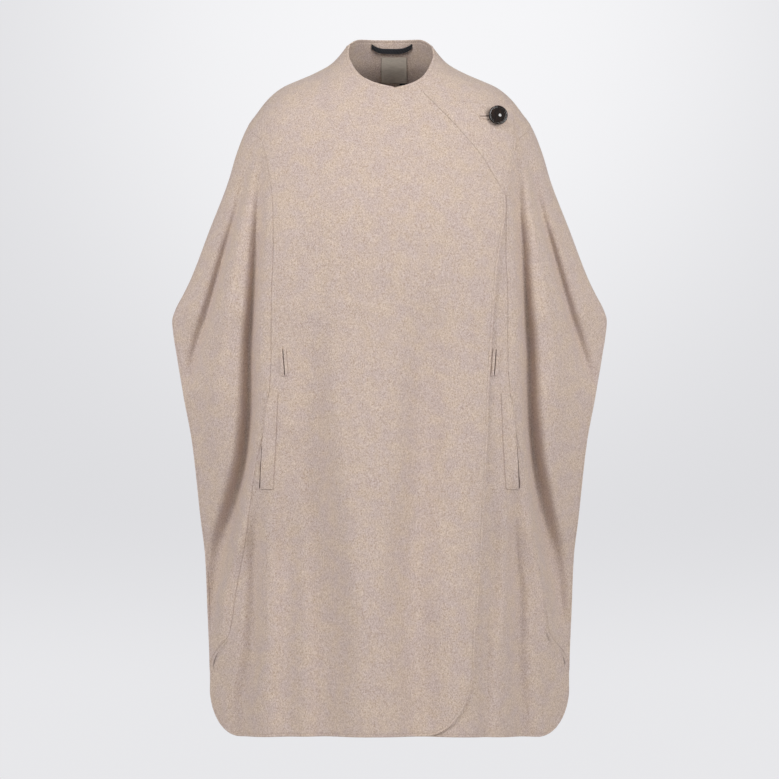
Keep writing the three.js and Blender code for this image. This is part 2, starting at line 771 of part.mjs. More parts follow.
// Button: a domed disc with a rim, turned about its own axis, with a short shank.
const BUTTON_AXIS = buttonAxis();

function buttonAxis() {
  const theta = angleAt(BUTTON.x, BUTTON.z);
  const surface = (t, h) => layerPoint("front", t, h, WRAP_LIFT);
  const normal = normalOf(surface, "front", theta, BUTTON.z);
  const facing = new Vector3(0, -1, 0).lerp(normal, BUTTON.tilt).normalize();
  return { foot: surface(theta, BUTTON.z), normal, facing };
}

function makeButton() {
  const profile = BUTTON_PROFILE.map(({ out, up }) => new Vector2(out * BUTTON.radius, up));
  const disc = new THREE.LatheGeometry(profile, BUTTON_SIDES);
  const { foot, normal, facing } = BUTTON_AXIS;
  const seat = foot.clone().addScaledVector(facing, BUTTON.stand);
  disc.applyQuaternion(turnTo(facing));
  disc.translate(seat.x, seat.y, seat.z);
  // The shank reaches through the flap and ends just above the under front.
  const root = foot.clone().addScaledVector(normal, BUTTON.foot - WRAP_LIFT);
  const tip = seat.clone().addScaledVector(facing, 1);
  const length = tip.distanceTo(root);
  const shank = new THREE.CylinderGeometry(BUTTON.shank, BUTTON.shank, length, SHANK_SIDES);
  shank.applyQuaternion(turnTo(tip.clone().sub(root).normalize()));
  const centre = tip.clone().add(root).multiplyScalar(0.5);
  shank.translate(centre.x, centre.y, centre.z);
  return fromSolid(solid(disc).add(solid(shank)));
}

function turnTo(direction) {
  return new THREE.Quaternion().setFromUnitVectors(new Vector3(0, 1, 0), direction);
}

// Joining and cutting
function solid(geometry) {
  const bare = geometry.clone();
  bare.deleteAttribute("normal");
  bare.deleteAttribute("uv");
  const merged = mergeVertices(bare, WELD);
  return new wasm.Manifold(
    new wasm.Mesh({
      numProp: 3,
      vertProperties: new Float32Array(merged.attributes.position.array),
      triVerts: new Uint32Array(merged.index.array),
    }),
  );
}

function fromSolid(manifold) {
  const mesh = manifold.getMesh();
  const geometry = new THREE.BufferGeometry();
  geometry.setAttribute("position", new THREE.BufferAttribute(mesh.vertProperties, 3));
  geometry.setIndex(new THREE.BufferAttribute(mesh.triVerts, 1));
  return geometry;
}

// The buttonhole: a narrow slot with a round eye at its outer end for the shank.
function cutButtonhole(flap) {
  const { foot, normal } = BUTTON_AXIS;
  const length = BUTTONHOLE.to - BUTTONHOLE.from;
  const outline = new THREE.Shape();
  const neck = Math.asin(BUTTONHOLE.slot / 2 / BUTTONHOLE.eye);
  outline.moveTo(-length, -BUTTONHOLE.slot / 2);
  outline.absarc(0, 0, BUTTONHOLE.eye, Math.PI + neck, Math.PI - neck, false);
  outline.lineTo(-length, BUTTONHOLE.slot / 2);
  const cutter = new THREE.ExtrudeGeometry(outline, {
    depth: BUTTONHOLE.reach,
    bevelEnabled: false,
    curveSegments: 8,
  });
  cutter.translate(0, 0, -BUTTONHOLE.reach / 2);
  const along = new Vector3(1, 0, 0).addScaledVector(normal, -normal.x).normalize();
  const upward = normal.clone().cross(along);
  cutter.applyMatrix4(new THREE.Matrix4().makeBasis(along, upward, normal));
  cutter.translate(foot.x, foot.y, foot.z);
  return fromSolid(solid(flap).subtract(solid(cutter)));
}

// The mouth of a belt slit, cut straight through the front.
function cutSlit(front, sign) {
  const line = curve(SLIT, "x");
  const top = SLIT[1].z - SLIT_INSET;
  const bottom = SLIT[0].z + SLIT_INSET;
  const cutter = new THREE.BoxGeometry(SLIT_MOUTH, SLIT_REACH, top - bottom);
  const middle = (top + bottom) / 2;
  const x = sign * line(middle);
  const y = form("front", angleAt(x, middle), middle).y;
  const slant = Math.atan2(sign * (line(top) - line(bottom)), top - bottom);
  cutter.rotateY(slant);
  cutter.translate(x, y, middle);
  return fromSolid(solid(front).subtract(solid(cutter)));
}

// Finishes
const wool = { color: 0xc9b8aa, roughness: 0.95, metalness: 0 };
const horn = { color: 0x1c1512, roughness: 0.18, metalness: 0 };
const tape = { color: 0x17181b, roughness: 0.7, metalness: 0 };
const satin = { color: 0xc8c1b4, roughness: 0.6, metalness: 0 };

const cape = new THREE.Group();

function add(name, geometry, finish) {
  geometry.computeVertexNormals();
  const mesh = new THREE.Mesh(geometry, new THREE.MeshStandardMaterial(finish));
  mesh.name = name;
  cape.add(mesh);
}

const fronts = makeFronts();
add("front_right", cutSlit(fronts.right, -1), wool);
add("front_left", cutSlit(fronts.left, 1), wool);
add("front_flap", cutButtonhole(makeFlap()), wool);
for (const [hand, sign] of [["right", -1], ["left", 1]]) {
  add(`side_${hand}`, makeSidePanel(sign), wool);
  add(`back_${hand}`, makeBack(sign), wool);
  add(`pocket_welt_${hand}`, makePocketWelt(sign), wool);
  add(`slit_inner_${hand}`, makeSlitLip(sign, -1), wool);
  add(`slit_outer_${hand}`, makeSlitLip(sign, 1), wool);
}
add("buttonhole_upper", makeButtonholeLip(1), wool);
add("buttonhole_lower", makeButtonholeLip(-1), wool);
add("button", makeButton(), horn);
add("hanger_loop", makeLoop(), tape);
add("neck_label", makeLabel(LABEL, LABEL_AIR), satin);
add("size_tab", makeLabel(SIZE_TAB, LABEL_AIR), tape);

export default cape;
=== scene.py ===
"""A worn wool cape: funnel collar, a right front that wraps over to the left shoulder, one big
button, belt slits and welt pockets. Laid out as a Blender add-on and run as a script.
Lengths are in metres, +Z is up, the front faces -Y and the wearer's left is +X."""

import math

import bmesh
import bpy
import numpy as np
from bpy.props import FloatProperty, FloatVectorProperty, IntProperty, PointerProperty
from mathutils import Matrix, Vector


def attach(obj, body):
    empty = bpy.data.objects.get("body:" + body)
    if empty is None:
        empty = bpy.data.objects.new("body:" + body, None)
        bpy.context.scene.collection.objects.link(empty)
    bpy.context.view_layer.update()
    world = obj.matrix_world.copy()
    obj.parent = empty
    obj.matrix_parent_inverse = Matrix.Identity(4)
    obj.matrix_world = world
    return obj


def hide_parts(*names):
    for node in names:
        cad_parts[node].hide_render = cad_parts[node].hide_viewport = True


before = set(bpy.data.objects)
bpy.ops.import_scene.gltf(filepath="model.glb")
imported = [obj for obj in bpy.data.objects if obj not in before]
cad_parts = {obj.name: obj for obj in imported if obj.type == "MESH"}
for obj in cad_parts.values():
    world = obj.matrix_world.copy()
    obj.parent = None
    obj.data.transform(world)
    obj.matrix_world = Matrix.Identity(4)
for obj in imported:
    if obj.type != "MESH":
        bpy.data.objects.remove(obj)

bl_info = {
    "name": "Wool cape",
    "version": (1, 0, 0),
    "blender": (4, 5, 0),
    "location": "3D View > Sidebar > Cape",
    "description": "Makes a worn wool cape with a wrapped front, one button and welt pockets",
    "category": "Object",
}

ROOT = "root"
MM = 0.001


def colour(hex_value):
    """An sRGB hex value as linear red, green and blue."""
    parts = [int(hex_value[i : i + 2], 16) / 255 for i in (0, 2, 4)]
    return tuple(c / 12.92 if c <= 0.04045 else ((c + 0.055) / 1.055) ** 2.4 for c in parts)


# Sizes and colours that a user would change


class CapeCloth(bpy.types.PropertyGroup):
    """Sizes and colours of the wool."""

    thickness: FloatProperty(
        name="Cloth thickness", description="Thickness of the double-faced wool",
        default=2.4 * MM, min=1 * MM, max=4 * MM, unit="LENGTH", precision=4)
    layer_air: FloatProperty(
        name="Air between layers", description="Air between the two fronts where they overlap",
        default=0.9 * MM, min=0.3 * MM, max=4 * MM, unit="LENGTH", precision=4)
    step: FloatProperty(
        name="Mesh step", description="Size of a face of the cloth away from its edges",
        default=5 * MM, min=3 * MM, max=20 * MM, unit="LENGTH", precision=4)
    folds: FloatProperty(
        name="Folds", description="Depth of the folds, where 1 is as worn",
        default=1.0, min=0.0, max=1.2)
    unevenness: FloatProperty(
        name="Unevenness", description="Depth of the slight waves of the cloth",
        default=0.5 * MM, min=0, max=2 * MM, unit="LENGTH", precision=4)
    light_wool: FloatVectorProperty(
        name="Light fibres", description="Colour of the light fibres",
        default=colour("dccfc6"), size=3, subtype="COLOR", min=0, max=1)
    dark_wool: FloatVectorProperty(
        name="Dark fibres", description="Colour of the dark fibres",
        default=colour("b29d90"), size=3, subtype="COLOR", min=0, max=1)


class CapeSewing(bpy.types.PropertyGroup):
    """Sizes of the topstitching."""

    inset: FloatProperty(
        name="Inset", description="Distance of the topstitching from the edge",
        default=4.5 * MM, min=2 * MM, max=10 * MM, unit="LENGTH", precision=4)
    sink: FloatProperty(
        name="Sink", description="How far the thread draws the cloth in",
        default=0.45 * MM, min=0, max=1 * MM, unit="LENGTH", precision=4)
    pitch: FloatProperty(
        name="Stitch pitch", description="Distance from one stitch to the next",
        default=3.6 * MM, min=1 * MM, max=10 * MM, unit="LENGTH", precision=4)
    length: FloatProperty(
        name="Stitch length", description="Length of the thread that shows",
        default=3.0 * MM, min=0.5 * MM, max=8 * MM, unit="LENGTH", precision=4)
    thread: FloatProperty(
        name="Thread", description="Thickness of the thread",
        default=0.5 * MM, min=0.1 * MM, max=1 * MM, unit="LENGTH", precision=5)
    seed: IntProperty(
        name="Seed", description="Seed of the small differences between stitches", default=7)
    colour: FloatVectorProperty(
        name="Thread colour", description="Colour of the topstitching thread",
        default=colour("b9a595"), size=3, subtype="COLOR", min=0, max=1)


class CapeTrim(bpy.types.PropertyGroup):
    """Sizes and colours of the button, tape and labels."""

    button_radius: FloatProperty(
        name="Button radius", description="Radius of the button",
        default=16.4 * MM, min=8 * MM, max=25 * MM, unit="LENGTH", precision=4)
    button_colour: FloatVectorProperty(
        name="Button colour", description="Colour of the dark resin",
        default=colour("1a1310"), size=3, subtype="COLOR", min=0, max=1)
    tape_colour: FloatVectorProperty(
        name="Tape colour", description="Colour of the hanging loop and the size tab",
        default=colour("15161a"), size=3, subtype="COLOR", min=0, max=1)
    label_colour: FloatVectorProperty(
        name="Label colour", description="Colour of the bare woven label",
        default=colour("cfc4b6"), size=3, subtype="COLOR", min=0, max=1)


class CapeStage(bpy.types.PropertyGroup):
    """Camera, floor and light."""

    distance: FloatProperty(
        name="Camera distance", description="Distance from the camera to the wearer",
        default=8.0, min=1, max=30, unit="LENGTH")
    frame_height: FloatProperty(
        name="Framed height", description="Height that the picture spans at the wearer",
        default=1.3165, min=0.2, max=4, unit="LENGTH")
    eye: FloatProperty(
        name="Camera height", description="Height of the camera over the base of the neck",
        default=-0.5095, unit="LENGTH")
    floor: FloatProperty(
        name="Floor", description="Height of the floor under the base of the neck",
        default=-1.45, unit="LENGTH")
    key: FloatProperty(
        name="Side lights", description="Power of the large lights at both sides", default=48.0,
        min=0)
    fill: FloatProperty(
        name="Fill", description="Strength of the light from all round", default=0.34, min=0)
    backdrop: FloatVectorProperty(
        name="Backdrop", description="Colour of the backdrop at its edges",
        default=colour("dddde0"), size=3, subtype="COLOR", min=0, max=1)


# Tables of the form. Each has a line of column names and then its rows. Metres.


def table(text):
    """The rows under a line of column names, as one array for each column."""
    lines = [line.split() for line in text.strip().splitlines()]
    return dict(zip(lines[0], np.array(lines[1:], float).T))


# Sections from the hem up to the collar. half: half width. power, side: shape and half depth of
# the rounded side. front, back: depth at the middle. open: half the gap between the side edges.
SECTIONS = table("""
z       half    power  side   front  back   open
-1.120  0.303   6.0    0.008  0.172  0.176  0.028
-1.009  0.303   6.0    0.008  0.168  0.170  0.024
-0.874  0.308   6.0    0.008  0.163  0.164  0.012
-0.791  0.312   6.0    0.008  0.160  0.161  0.001
-0.730  0.319   6.0    0.008  0.158  0.159  0.010
-0.600  0.333   6.0    0.009  0.155  0.156  0.022
-0.515  0.349   6.0    0.010  0.153  0.155  0.018
-0.456  0.359   6.0    0.012  0.152  0.154  0.009
-0.412  0.366   6.0    0.015  0.152  0.153  0.001
-0.394  0.3675  6.0    0.018  0.152  0.153  0.000
-0.375  0.362   6.0    0.025  0.153  0.153  0.000
-0.348  0.348   6.0    0.034  0.153  0.153  0.000
-0.321  0.335   6.0    0.042  0.154  0.152  0.000
-0.240  0.304   6.0    0.053  0.152  0.150  0.000
-0.160  0.273   6.0    0.058  0.138  0.145  0.000
-0.110  0.258   6.4    0.060  0.124  0.137  0.000
-0.066  0.240   6.8    0.060  0.110  0.127  0.000
-0.043  0.224   6.8    0.057  0.102  0.119  0.000
-0.019  0.205   6.4    0.050  0.091  0.107  0.000
 0.000  0.182   5.2    0.042  0.080  0.096  0.000
 0.012  0.156   4.4    0.039  0.074  0.088  0.000
 0.022  0.132   3.8    0.038  0.070  0.081  0.000
 0.040  0.099   2.8    0.041  0.063  0.070  0.000
 0.054  0.085   2.4    0.046  0.060  0.065  0.000
 0.070  0.073   2.1    0.050  0.056  0.060  0.000
 0.090  0.061   2.0    0.050  0.053  0.056  0.000
""")

# Neckline of either front. out: share of the half width, measured from the V.
NECKLINE = table("""
out   z
0.00  -0.004
0.05  -0.002
0.12   0.001
0.20   0.0055
0.31   0.013
0.48   0.026
0.66   0.039
0.81   0.0505
0.94   0.066
0.97   0.072
""")

# Upper edge of the wrapped front, from the V out to the shoulder, in the same columns.
WRAP_TOP = table("""
out    z
0.000  -0.004
0.020  -0.0068
0.110  -0.010
0.250  -0.0135
0.455  -0.022
0.590  -0.025
0.760  -0.028
0.950  -0.033
""")

# Pocket seam between a front and its side panel.
POCKET_SEAM = table("""
z       x
-1.005  0.303
-0.985  0.292
-0.920  0.269
-0.843  0.257
-0.773  0.2435
-0.702  0.233
-0.633  0.2225
-0.575  0.209
-0.514  0.201
-0.460  0.1975
-0.360  0.197
-0.277  0.194
-0.200  0.195
-0.150  0.201
-0.110  0.210
-0.080  0.2175
-0.060  0.223
-0.046  0.228
""")

# Seam over the arm, from the shoulder to where it dies out above the elbow. Below that it only
# guides the mesh. show: how strongly it shows.
ARM_SEAM = table("""
z       x      show
-1.005  0.290  0
-0.700  0.295  0
-0.467  0.305  0
-0.427  0.2835 0.5
-0.367  0.265  0.9
-0.338  0.2567 1
-0.271  0.250  1
-0.209  0.243  1
-0.149  0.2365 0.7
-0.095  0.232  0.3
-0.046  0.229  0
""")

# Edge of the wrapped front: the slanted flap seam first, then its free edge.
WRAP_EDGE = table("""
z       x
-1.100  0.137
-1.000  0.139
-0.926  0.1415
-0.846  0.1485
-0.748  0.1545
-0.599  0.1625
-0.510  0.1655
-0.407  0.1715
-0.300  0.180
-0.237  0.1895
-0.205  0.193
-0.190  0.1925
-0.154  0.173
-0.125  0.156
-0.078  0.1175
-0.049  0.091
-0.014  0.056
""")

# Outer edge of the flap, beside the button.
FLAP_EDGE = table("""
z       x
-0.190  0.194
-0.156  0.200
-0.108  0.209
-0.074  0.211
-0.050  0.210
-0.036  0.206
-0.020  0.197
""")

# Folds. right, left: distance of a fold from the middle on the wearer's right and left. deep: how
# far it sinks, or stands out when negative. wide: how far from its middle about a third of its
# depth is left.
ARM_VALLEY = table("""
z       right   left    deep   wide
-0.925  0.3040  0.2960  0.000  0.012
-0.865  0.3000  0.2875  0.022  0.013
-0.781  0.2844  0.2721  0.042  0.015
-0.696  0.2610  0.2548  0.058  0.014
-0.612  0.2429  0.2416  0.058  0.012
-0.527  0.2359  0.2355  0.052  0.012
-0.443  0.2348  0.2336  0.045  0.011
-0.358  0.2296  0.2284  0.036  0.010
-0.274  0.2235  0.2223  0.026  0.010
-0.206  0.2201  0.2173  0.015  0.009
-0.139  0.2168  0.2148  0.006  0.009
-0.100  0.2140  0.2120  0.000  0.009
""")
ELBOW_VALLEY = table("""
z       right   left    deep   wide
-0.515  0.3428  0.3450  0.000  0.010
-0.477  0.3358  0.3360  0.012  0.010
-0.443  0.3268  0.3235  0.020  0.010
-0.358  0.3003  0.2978  0.026  0.009
-0.274  0.2763  0.2738  0.023  0.008
-0.206  0.2560  0.2543  0.014  0.008
-0.139  0.2393  0.2384  0.006  0.008
-0.100  0.2288  0.2290  0.000  0.008
""")
ARM_RIDGE = table("""
z       right   left    deep    wide
-0.640  0.3000  0.2900   0.000  0.018
-0.520  0.2900  0.2820  -0.005  0.018
-0.420  0.2820  0.2750  -0.006  0.016
-0.358  0.2720  0.2650  -0.006  0.013
-0.274  0.2560  0.2490  -0.005  0.010
-0.206  0.2440  0.2360  -0.003  0.008
-0.140  0.2340  0.2260   0.000  0.008
""")
SIDE_RIDGE = table("""
z       right   left    deep    wide
-0.990  0.2860  0.2700   0.000  0.013
-0.930  0.2840  0.2680  -0.006  0.013
-0.865  0.2800  0.2615  -0.012  0.013
-0.781  0.2575  0.2440  -0.012  0.012
-0.696  0.2409  0.2318  -0.005  0.010
-0.620  0.2330  0.2250   0.000  0.010
""")
POCKET_FOLD = table("""
z       right   left    deep   wide
-1.100  0.2480  0.2220  0.016  0.018
-1.034  0.2450  0.2200  0.019  0.017
-0.950  0.2300  0.2150  0.022  0.016
-0.865  0.2267  0.2167  0.021  0.014
-0.781  0.2250  0.2100  0.016  0.012
-0.700  0.2210  0.2080  0.006  0.011
-0.660  0.2190  0.2070  0.000  0.011
""")
RIGHT_FALL = table("""
z       right   deep   wide
-1.100  0.106   0.030  0.036
-1.034  0.107   0.032  0.036
-0.950  0.103   0.034  0.036
-0.865  0.107   0.035  0.034
-0.781  0.114   0.034  0.034
-0.696  0.120   0.032  0.032
-0.612  0.128   0.027  0.030
-0.527  0.131   0.018  0.028
-0.443  0.128   0.008  0.026
-0.390  0.124   0.000  0.026
""")
POCKET_FALL = table("""
z       right   deep   wide
-1.100  0.168   0.018  0.026
-0.950  0.169   0.022  0.026
-0.865  0.168   0.024  0.025
-0.781  0.168   0.024  0.024
-0.696  0.166   0.015  0.022
-0.612  0.165   0.006  0.020
-0.570  0.165   0.000  0.020
""")
LEFT_FALL = table("""
z       left    deep   wide
-1.100  0.052   0.024  0.038
-1.034  0.050   0.027  0.038
-0.950  0.045   0.029  0.038
-0.865  0.040   0.030  0.037
-0.781  0.043   0.030  0.038
-0.696  0.051   0.028  0.037
-0.612  0.056   0.026  0.036
-0.527  0.059   0.022  0.034
-0.443  0.062   0.014  0.032
-0.340  0.062   0.000  0.030
""")
WRAP_FOLD = table("""
z       left    deep   wide
-1.100  0.160   0.008  0.012
-1.034  0.161   0.009  0.012
-0.950  0.162   0.009  0.012
-0.865  0.171   0.009  0.012
-0.781  0.174   0.009  0.012
-0.696  0.176   0.004  0.012
-0.600  0.176   0.000  0.012
""")
BACK_ARM_VALLEY = table("""
z       right   left    deep   wide
-0.840  0.302   0.296   0.000  0.018
-0.700  0.272   0.264   0.012  0.020
-0.520  0.246   0.238   0.017  0.020
-0.380  0.237   0.229   0.015  0.019
-0.260  0.230   0.223   0.008  0.017
-0.140  0.220   0.216   0.000  0.014
""")
BACK_FALL = table("""
z       right   left    deep   wide
-1.100  0.092   0.082   0.015  0.036
-0.800  0.088   0.080   0.013  0.034
-0.560  0.092   0.086   0.008  0.030
-0.380  0.094   0.090   0.000  0.026
""")
BACK_SIDE_FOLD = table("""
z       right   left    deep   wide
-1.100  0.200   0.192   0.009  0.022
-0.900  0.192   0.184   0.008  0.022
-0.720  0.186   0.182   0.000  0.020
""")
FOLDS = {
    "front": [
        ARM_VALLEY, ELBOW_VALLEY, ARM_RIDGE, SIDE_RIDGE, POCKET_FOLD, RIGHT_FALL, POCKET_FALL,
        LEFT_FALL, WRAP_FOLD,
    ],
    "back": [BACK_ARM_VALLEY, BACK_FALL, BACK_SIDE_FOLD],
}
SIGNS = {"right": -1, "left": 1}  # the wearer's two sides, by the sign of x

# Pocket welt: its inner and outer edge. Belt slit: the line where its two lips meet.
POCKET_WELT = table("""
z       inner   outer
-0.676  0.194   0.215
-0.630  0.191   0.2125
-0.588  0.1885  0.2095
-0.536  0.1865  0.204
-0.515  0.1855  0.199
""")
SLIT = table("""
z       x
-0.487  0.174
-0.441  0.1775
""")

SLIT_LIP = 5 * MM  # width of one lip
SLIT_MOUTH = 1.4 * MM  # width of the mouth between the lips
SLIT_INSET = 3 * MM  # how far inside the ends of its lips a belt slit is cut
POCKET_MOUTH = (-0.674, -0.604)  # lower and upper end of the open part of a pocket
POCKET_CUT = (1.3 * MM, 2.2 * MM)  # how far beside the welt a pocket is cut, and how wide
CUT_REACH = (-0.20, -0.07)  # depths between which mouths are cut
COLLAR_BACK = 0.085  # height of the collar at the middle of the back
COLLAR_SIDE = 0.072  # height of the collar at the shoulder seam
BACK_FLAT = 14  # how flat the top of the collar is at the back
HEM = -1.094  # height of the hem at the sides and the back
HEM_RISE = 0.009  # how much the front hem is lifted at the middle
HEM_CORNER = (0.054, 0.082)  # rounded corners at the sides: across, up
WRAP_CORNER = (0.080, 0.120)  # rounded corner of the wrapped front
V_POINT = 0.03  # share of the half width where the two necklines cross
SEAM_TOP, SEAM_END = -0.046, -1.005  # ends of the pocket seam
SEAM_RUNOUT = {"top": 0.015, "end": 0.03}  # angle left of a side panel at its two points
SEAM_EASE = (0.048, 0.090)  # heights over which the seam leaves the side at its two ends
UNDER_EDGE = -0.080  # hidden free edge of the under front
UNDER_SHARE = -0.44  # the same edge above the neckline, as a share of the half width
UNDER_LOWER = 0.003  # how much lower the hidden corner of the under front is cut
FLAP_END = -0.1895  # lower point of the flap
BODY_POWER, BODY_FALL = 2.4, 1.2  # how flat the body is, and how softly it falls away
FOLD_FADE = (0.05, 0.4)  # cosine of the angle where folds die out
LIFT_EASE = (0.045, 0.006)  # distance over which the top front rises off the body
LIFT_TOP = (0.006, 0.026)  # heights between which it comes back to the collar
TOP_HEIGHTS = (-0.120, 0.100)  # heights between which the top edges of all pieces lie
HEM_HEIGHTS = (-1.120, -0.900)  # heights between which the hem lies
SEAM_ROUND = (0.4 * MM, 1.0 * MM)  # rounding of a pressed seam at the shoulder, and what it gains
SEAM_SHOWS = (0.12, 0.30)  # depths below the neck between which it gains that
BACK_LEAN = (0.008, -0.300, 0.080)  # the back seam leans to the left at the collar


def smooth(value, low, high):
    """A smooth step from 0 at low to 1 at high."""
    share = np.clip((value - low) / (high - low), 0, 1)
    return share * share * (3 - 2 * share)


def curve(rows, column, along="z"):
    """A smooth curve through one column of a table, with no overshoot between its rows."""
    at, value = rows[along], rows[column]
    slope = np.diff(value) / np.diff(at)
    before, after = slope[:-1], slope[1:]
    turning = before * after <= 0
    mean = 2 * before * after / np.where(turning, 1, before + after)
    tangent = np.concatenate([slope[:1], np.where(turning, 0, mean), slope[-1:]])

    def read(where):
        where = np.clip(where, at[0], at[-1])
        i = np.clip(np.searchsorted(at, where, side="right") - 1, 0, len(at) - 2)
        step = at[i + 1] - at[i]
        s = (where - at[i]) / step
        rise = s * s * (3 - 2 * s)
        lean = tangent[i] * s * (1 - s) ** 2 - tangent[i + 1] * s**2 * (1 - s)
        return value[i] * (1 - rise) + value[i + 1] * rise + step * lean

    return read


section = {name: curve(SECTIONS, name) for name in SECTIONS if name != "z"}
neckline = curve(NECKLINE, "z", "out")
wrap_top = curve(WRAP_TOP, "z", "out")
pocket_seam = curve(POCKET_SEAM, "x")
arm_seam = curve(ARM_SEAM, "x")
arm_seam_shows = curve(ARM_SEAM, "show")
wrap_edge = curve(WRAP_EDGE, "x")
flap_edge = curve(FLAP_EDGE, "x")
folds = {
    face: [
        (sign, *(curve(rows, name) for name in (hand, "deep", "wide")))
        for rows in listed
        for hand, sign in SIGNS.items()
        if hand in rows
    ]
    for face, listed in FOLDS.items()
}


def cloth():
    return bpy.context.scene.cape_cloth


def sewing():
    return bpy.context.scene.cape_sewing


def trim():
    return bpy.context.scene.cape_trim


# The form


def form(face, theta, z):
    """The smooth form before folds. theta runs from -90 degrees at the wearer's right side to +90
    degrees at the left, where the front and the back meet."""
    across = np.sin(theta)
    share = np.minimum(np.abs(across), 1)
    side, gap = section["side"](z), section["open"](z)
    rounded = side * np.sqrt(np.maximum(1 - share ** section["power"](z), 0))
    fall = np.maximum(1 - share**BODY_POWER, 0) ** BODY_FALL
    depth = gap + rounded + (section[face](z) - side - gap) * fall
    return np.stack([section["half"](z) * across, -depth if face == "front" else depth, z], -1)


def normal_of(surface, face, theta, z):
    """Outward normal of a surface given as a function of theta and z."""
    quarter, reach, rise = math.pi / 2, 0.004, 0.6 * MM
    right = surface(np.minimum(theta + reach, quarter), z)
    left = surface(np.maximum(theta - reach, -quarter), z)
    normal = np.cross(right - left, surface(theta, z + rise) - surface(theta, z - rise))
    normal /= np.linalg.norm(normal, axis=-1, keepdims=True)
    return normal if face == "front" else -normal


# Slight waves of the cloth: length across, length down, slant and phase of each, in metres.
WAVES = table("""
across  down   slant  phase
0.031   0.220  0.10   0.3
0.043   0.160 -0.20   2.1
0.057   0.300  0.15   4.0
0.074   0.110 -0.35   1.2
0.026   0.090  0.40   5.2
0.095   0.410  0.05   3.3
0.120   0.070  0.60   0.9
0.037   0.130 -0.50   2.8
""")
WAVE_GROWTH = (0.02, 0.25)  # depths below the neck between which they grow to their full size
BACK_TURN = 1.7  # how far on the waves of the back are, so that they differ from those in front
WOBBLE = (1.3, 0.37)  # how much and how slowly a wave changes its length
MEAN_LENGTH = 0.06  # length across of a wave of full depth; shorter ones are shallower


def wave_depth(face, x, z):
    """Slight unevenness of the cloth, from a few crossed waves."""
    total = np.zeros_like(x)
    turn = 0.0 if face == "front" else BACK_TURN
    amount, pace = WOBBLE
    for across, down, slant, phase in zip(*WAVES.values()):
        at = 2 * math.pi * ((x + slant * z) / across + z / down) + phase + turn
        total = total + np.sin(at + amount * np.sin(at * pace)) * math.sqrt(across / MEAN_LENGTH)
    return total / math.sqrt(len(WAVES["across"]))


def sink(face, theta, z):
    """How far folds and unevenness sink at a place. They die out where the cloth turns round the
    side, so that the outline stays that of the sections."""
    x = section["half"](z) * np.sin(theta)
    deep = np.zeros_like(x)
    for sign, middle, depth, width in folds[face]:
        away = sign * x - middle(z)
        deep = deep + depth(z) * np.exp(-((away / width(z)) ** 2))
    waves = wave_depth(face, x, z) * cloth().unevenness * smooth(-z, *WAVE_GROWTH)
    return (deep * cloth().folds + waves) * smooth(np.cos(theta), *FOLD_FADE)


def layer_point(face, theta, z, lift):
    """A point of a layer that stands out from the outer face of the cloth by lift. Folds sink
    straight back, and less where little depth is left."""
    bare = form(face, theta, z)
    out = normal_of(lambda t, h: form(face, t, h), face, theta, z)
    depth = np.maximum(np.abs(bare[..., 1]), 1 * MM)
    bare[..., 1] *= np.exp(-sink(face, theta, z) / depth)
    return bare + out * lift[..., None]


def angle_at(x, z):
    """Angle of a distance x from the middle."""
    return np.arcsin(np.clip(x / section["half"](z), -1, 1))


class Arc:
    """Distances along a level line of one face, from the wearer's right side."""

    HEIGHTS = np.linspace(-1.125, 0.095, 620)
    ANGLES = np.linspace(-math.pi / 2, math.pi / 2, 901)

    def __init__(self, face):
        z, theta = np.meshgrid(self.HEIGHTS, self.ANGLES, indexing="ij")
        points = layer_point(face, theta, z, np.zeros_like(z))
        steps = np.linalg.norm(np.diff(points, axis=1), axis=-1)
        self.length = np.concatenate([np.zeros((len(z), 1)), np.cumsum(steps, axis=1)], axis=1)
        self.total = self.length[:, -1]
        self.shares = np.linspace(0, 1, len(self.ANGLES))
        self.angles = np.array([
            np.interp(self.shares * row[-1], row, self.ANGLES) for row in self.length])

    def read(self, values, z, along, across):
        """Bilinear reading of a table at heights z and places along its second axis."""
        i = (np.clip(z, self.HEIGHTS[0], self.HEIGHTS[-1]) - self.HEIGHTS[0])
        i = i / (self.HEIGHTS[1] - self.HEIGHTS[0])
        j = (np.clip(along, across[0], across[-1]) - across[0]) / (across[1] - across[0])
        i0 = np.minimum(i.astype(int), len(self.HEIGHTS) - 2)
        j0 = np.minimum(j.astype(int), len(across) - 2)
        u, v = i - i0, j - j0
        return (values[i0, j0] * (1 - u) * (1 - v) + values[i0 + 1, j0] * u * (1 - v)
                + values[i0, j0 + 1] * (1 - u) * v + values[i0 + 1, j0 + 1] * u * v)

    def at(self, theta, z):
        return self.read(self.length, z, theta, self.ANGLES)

    def angle(self, distance, z):
        total = np.interp(z, self.HEIGHTS, self.total)
        return self.read(self.angles, z, distance / total, self.shares)


arcs = {}


def arc(face):
    """The arc table of a face, made when it is first needed."""
    if face not in arcs:
        arcs[face] = Arc(face)
    return arcs[face]


# Cut pieces of cloth

# How far in from an edge the mesh has rows: a stitched edge, a seam, a line within a piece and
# the edge of a strip
EDGE_ROWS = np.array([0, 0.15, 0.45, 0.9, 1.5, 2.4, 3.2, 3.9, 4.5, 5.1, 5.9, 7.2, 9.6]) * MM
SEAM_ROWS = np.array([0, 0.15, 0.45, 0.9, 1.5, 2.4, 4.5, 7.2]) * MM
LINE_ROWS = np.array([0, 0.5, 1.1, 1.9, 3.2]) * MM
STRIP_ROWS = np.array([0, 0.12, 0.35, 0.7, 1.2]) * MM
EDGE_ROOM = 2.3  # a stretch shorter than this many times its edge rows draws them together
GUIDE_HEIGHTS = np.linspace(-1.05, 0.0, 40)  # where the width between guides is measured
GROOVE = 0.9 * MM  # half width of the groove along the topstitching
CREASE = 1.0 * MM  # half width of the crease along the seam over the arm
HALVINGS = 26  # steps in which the height of an edge is found


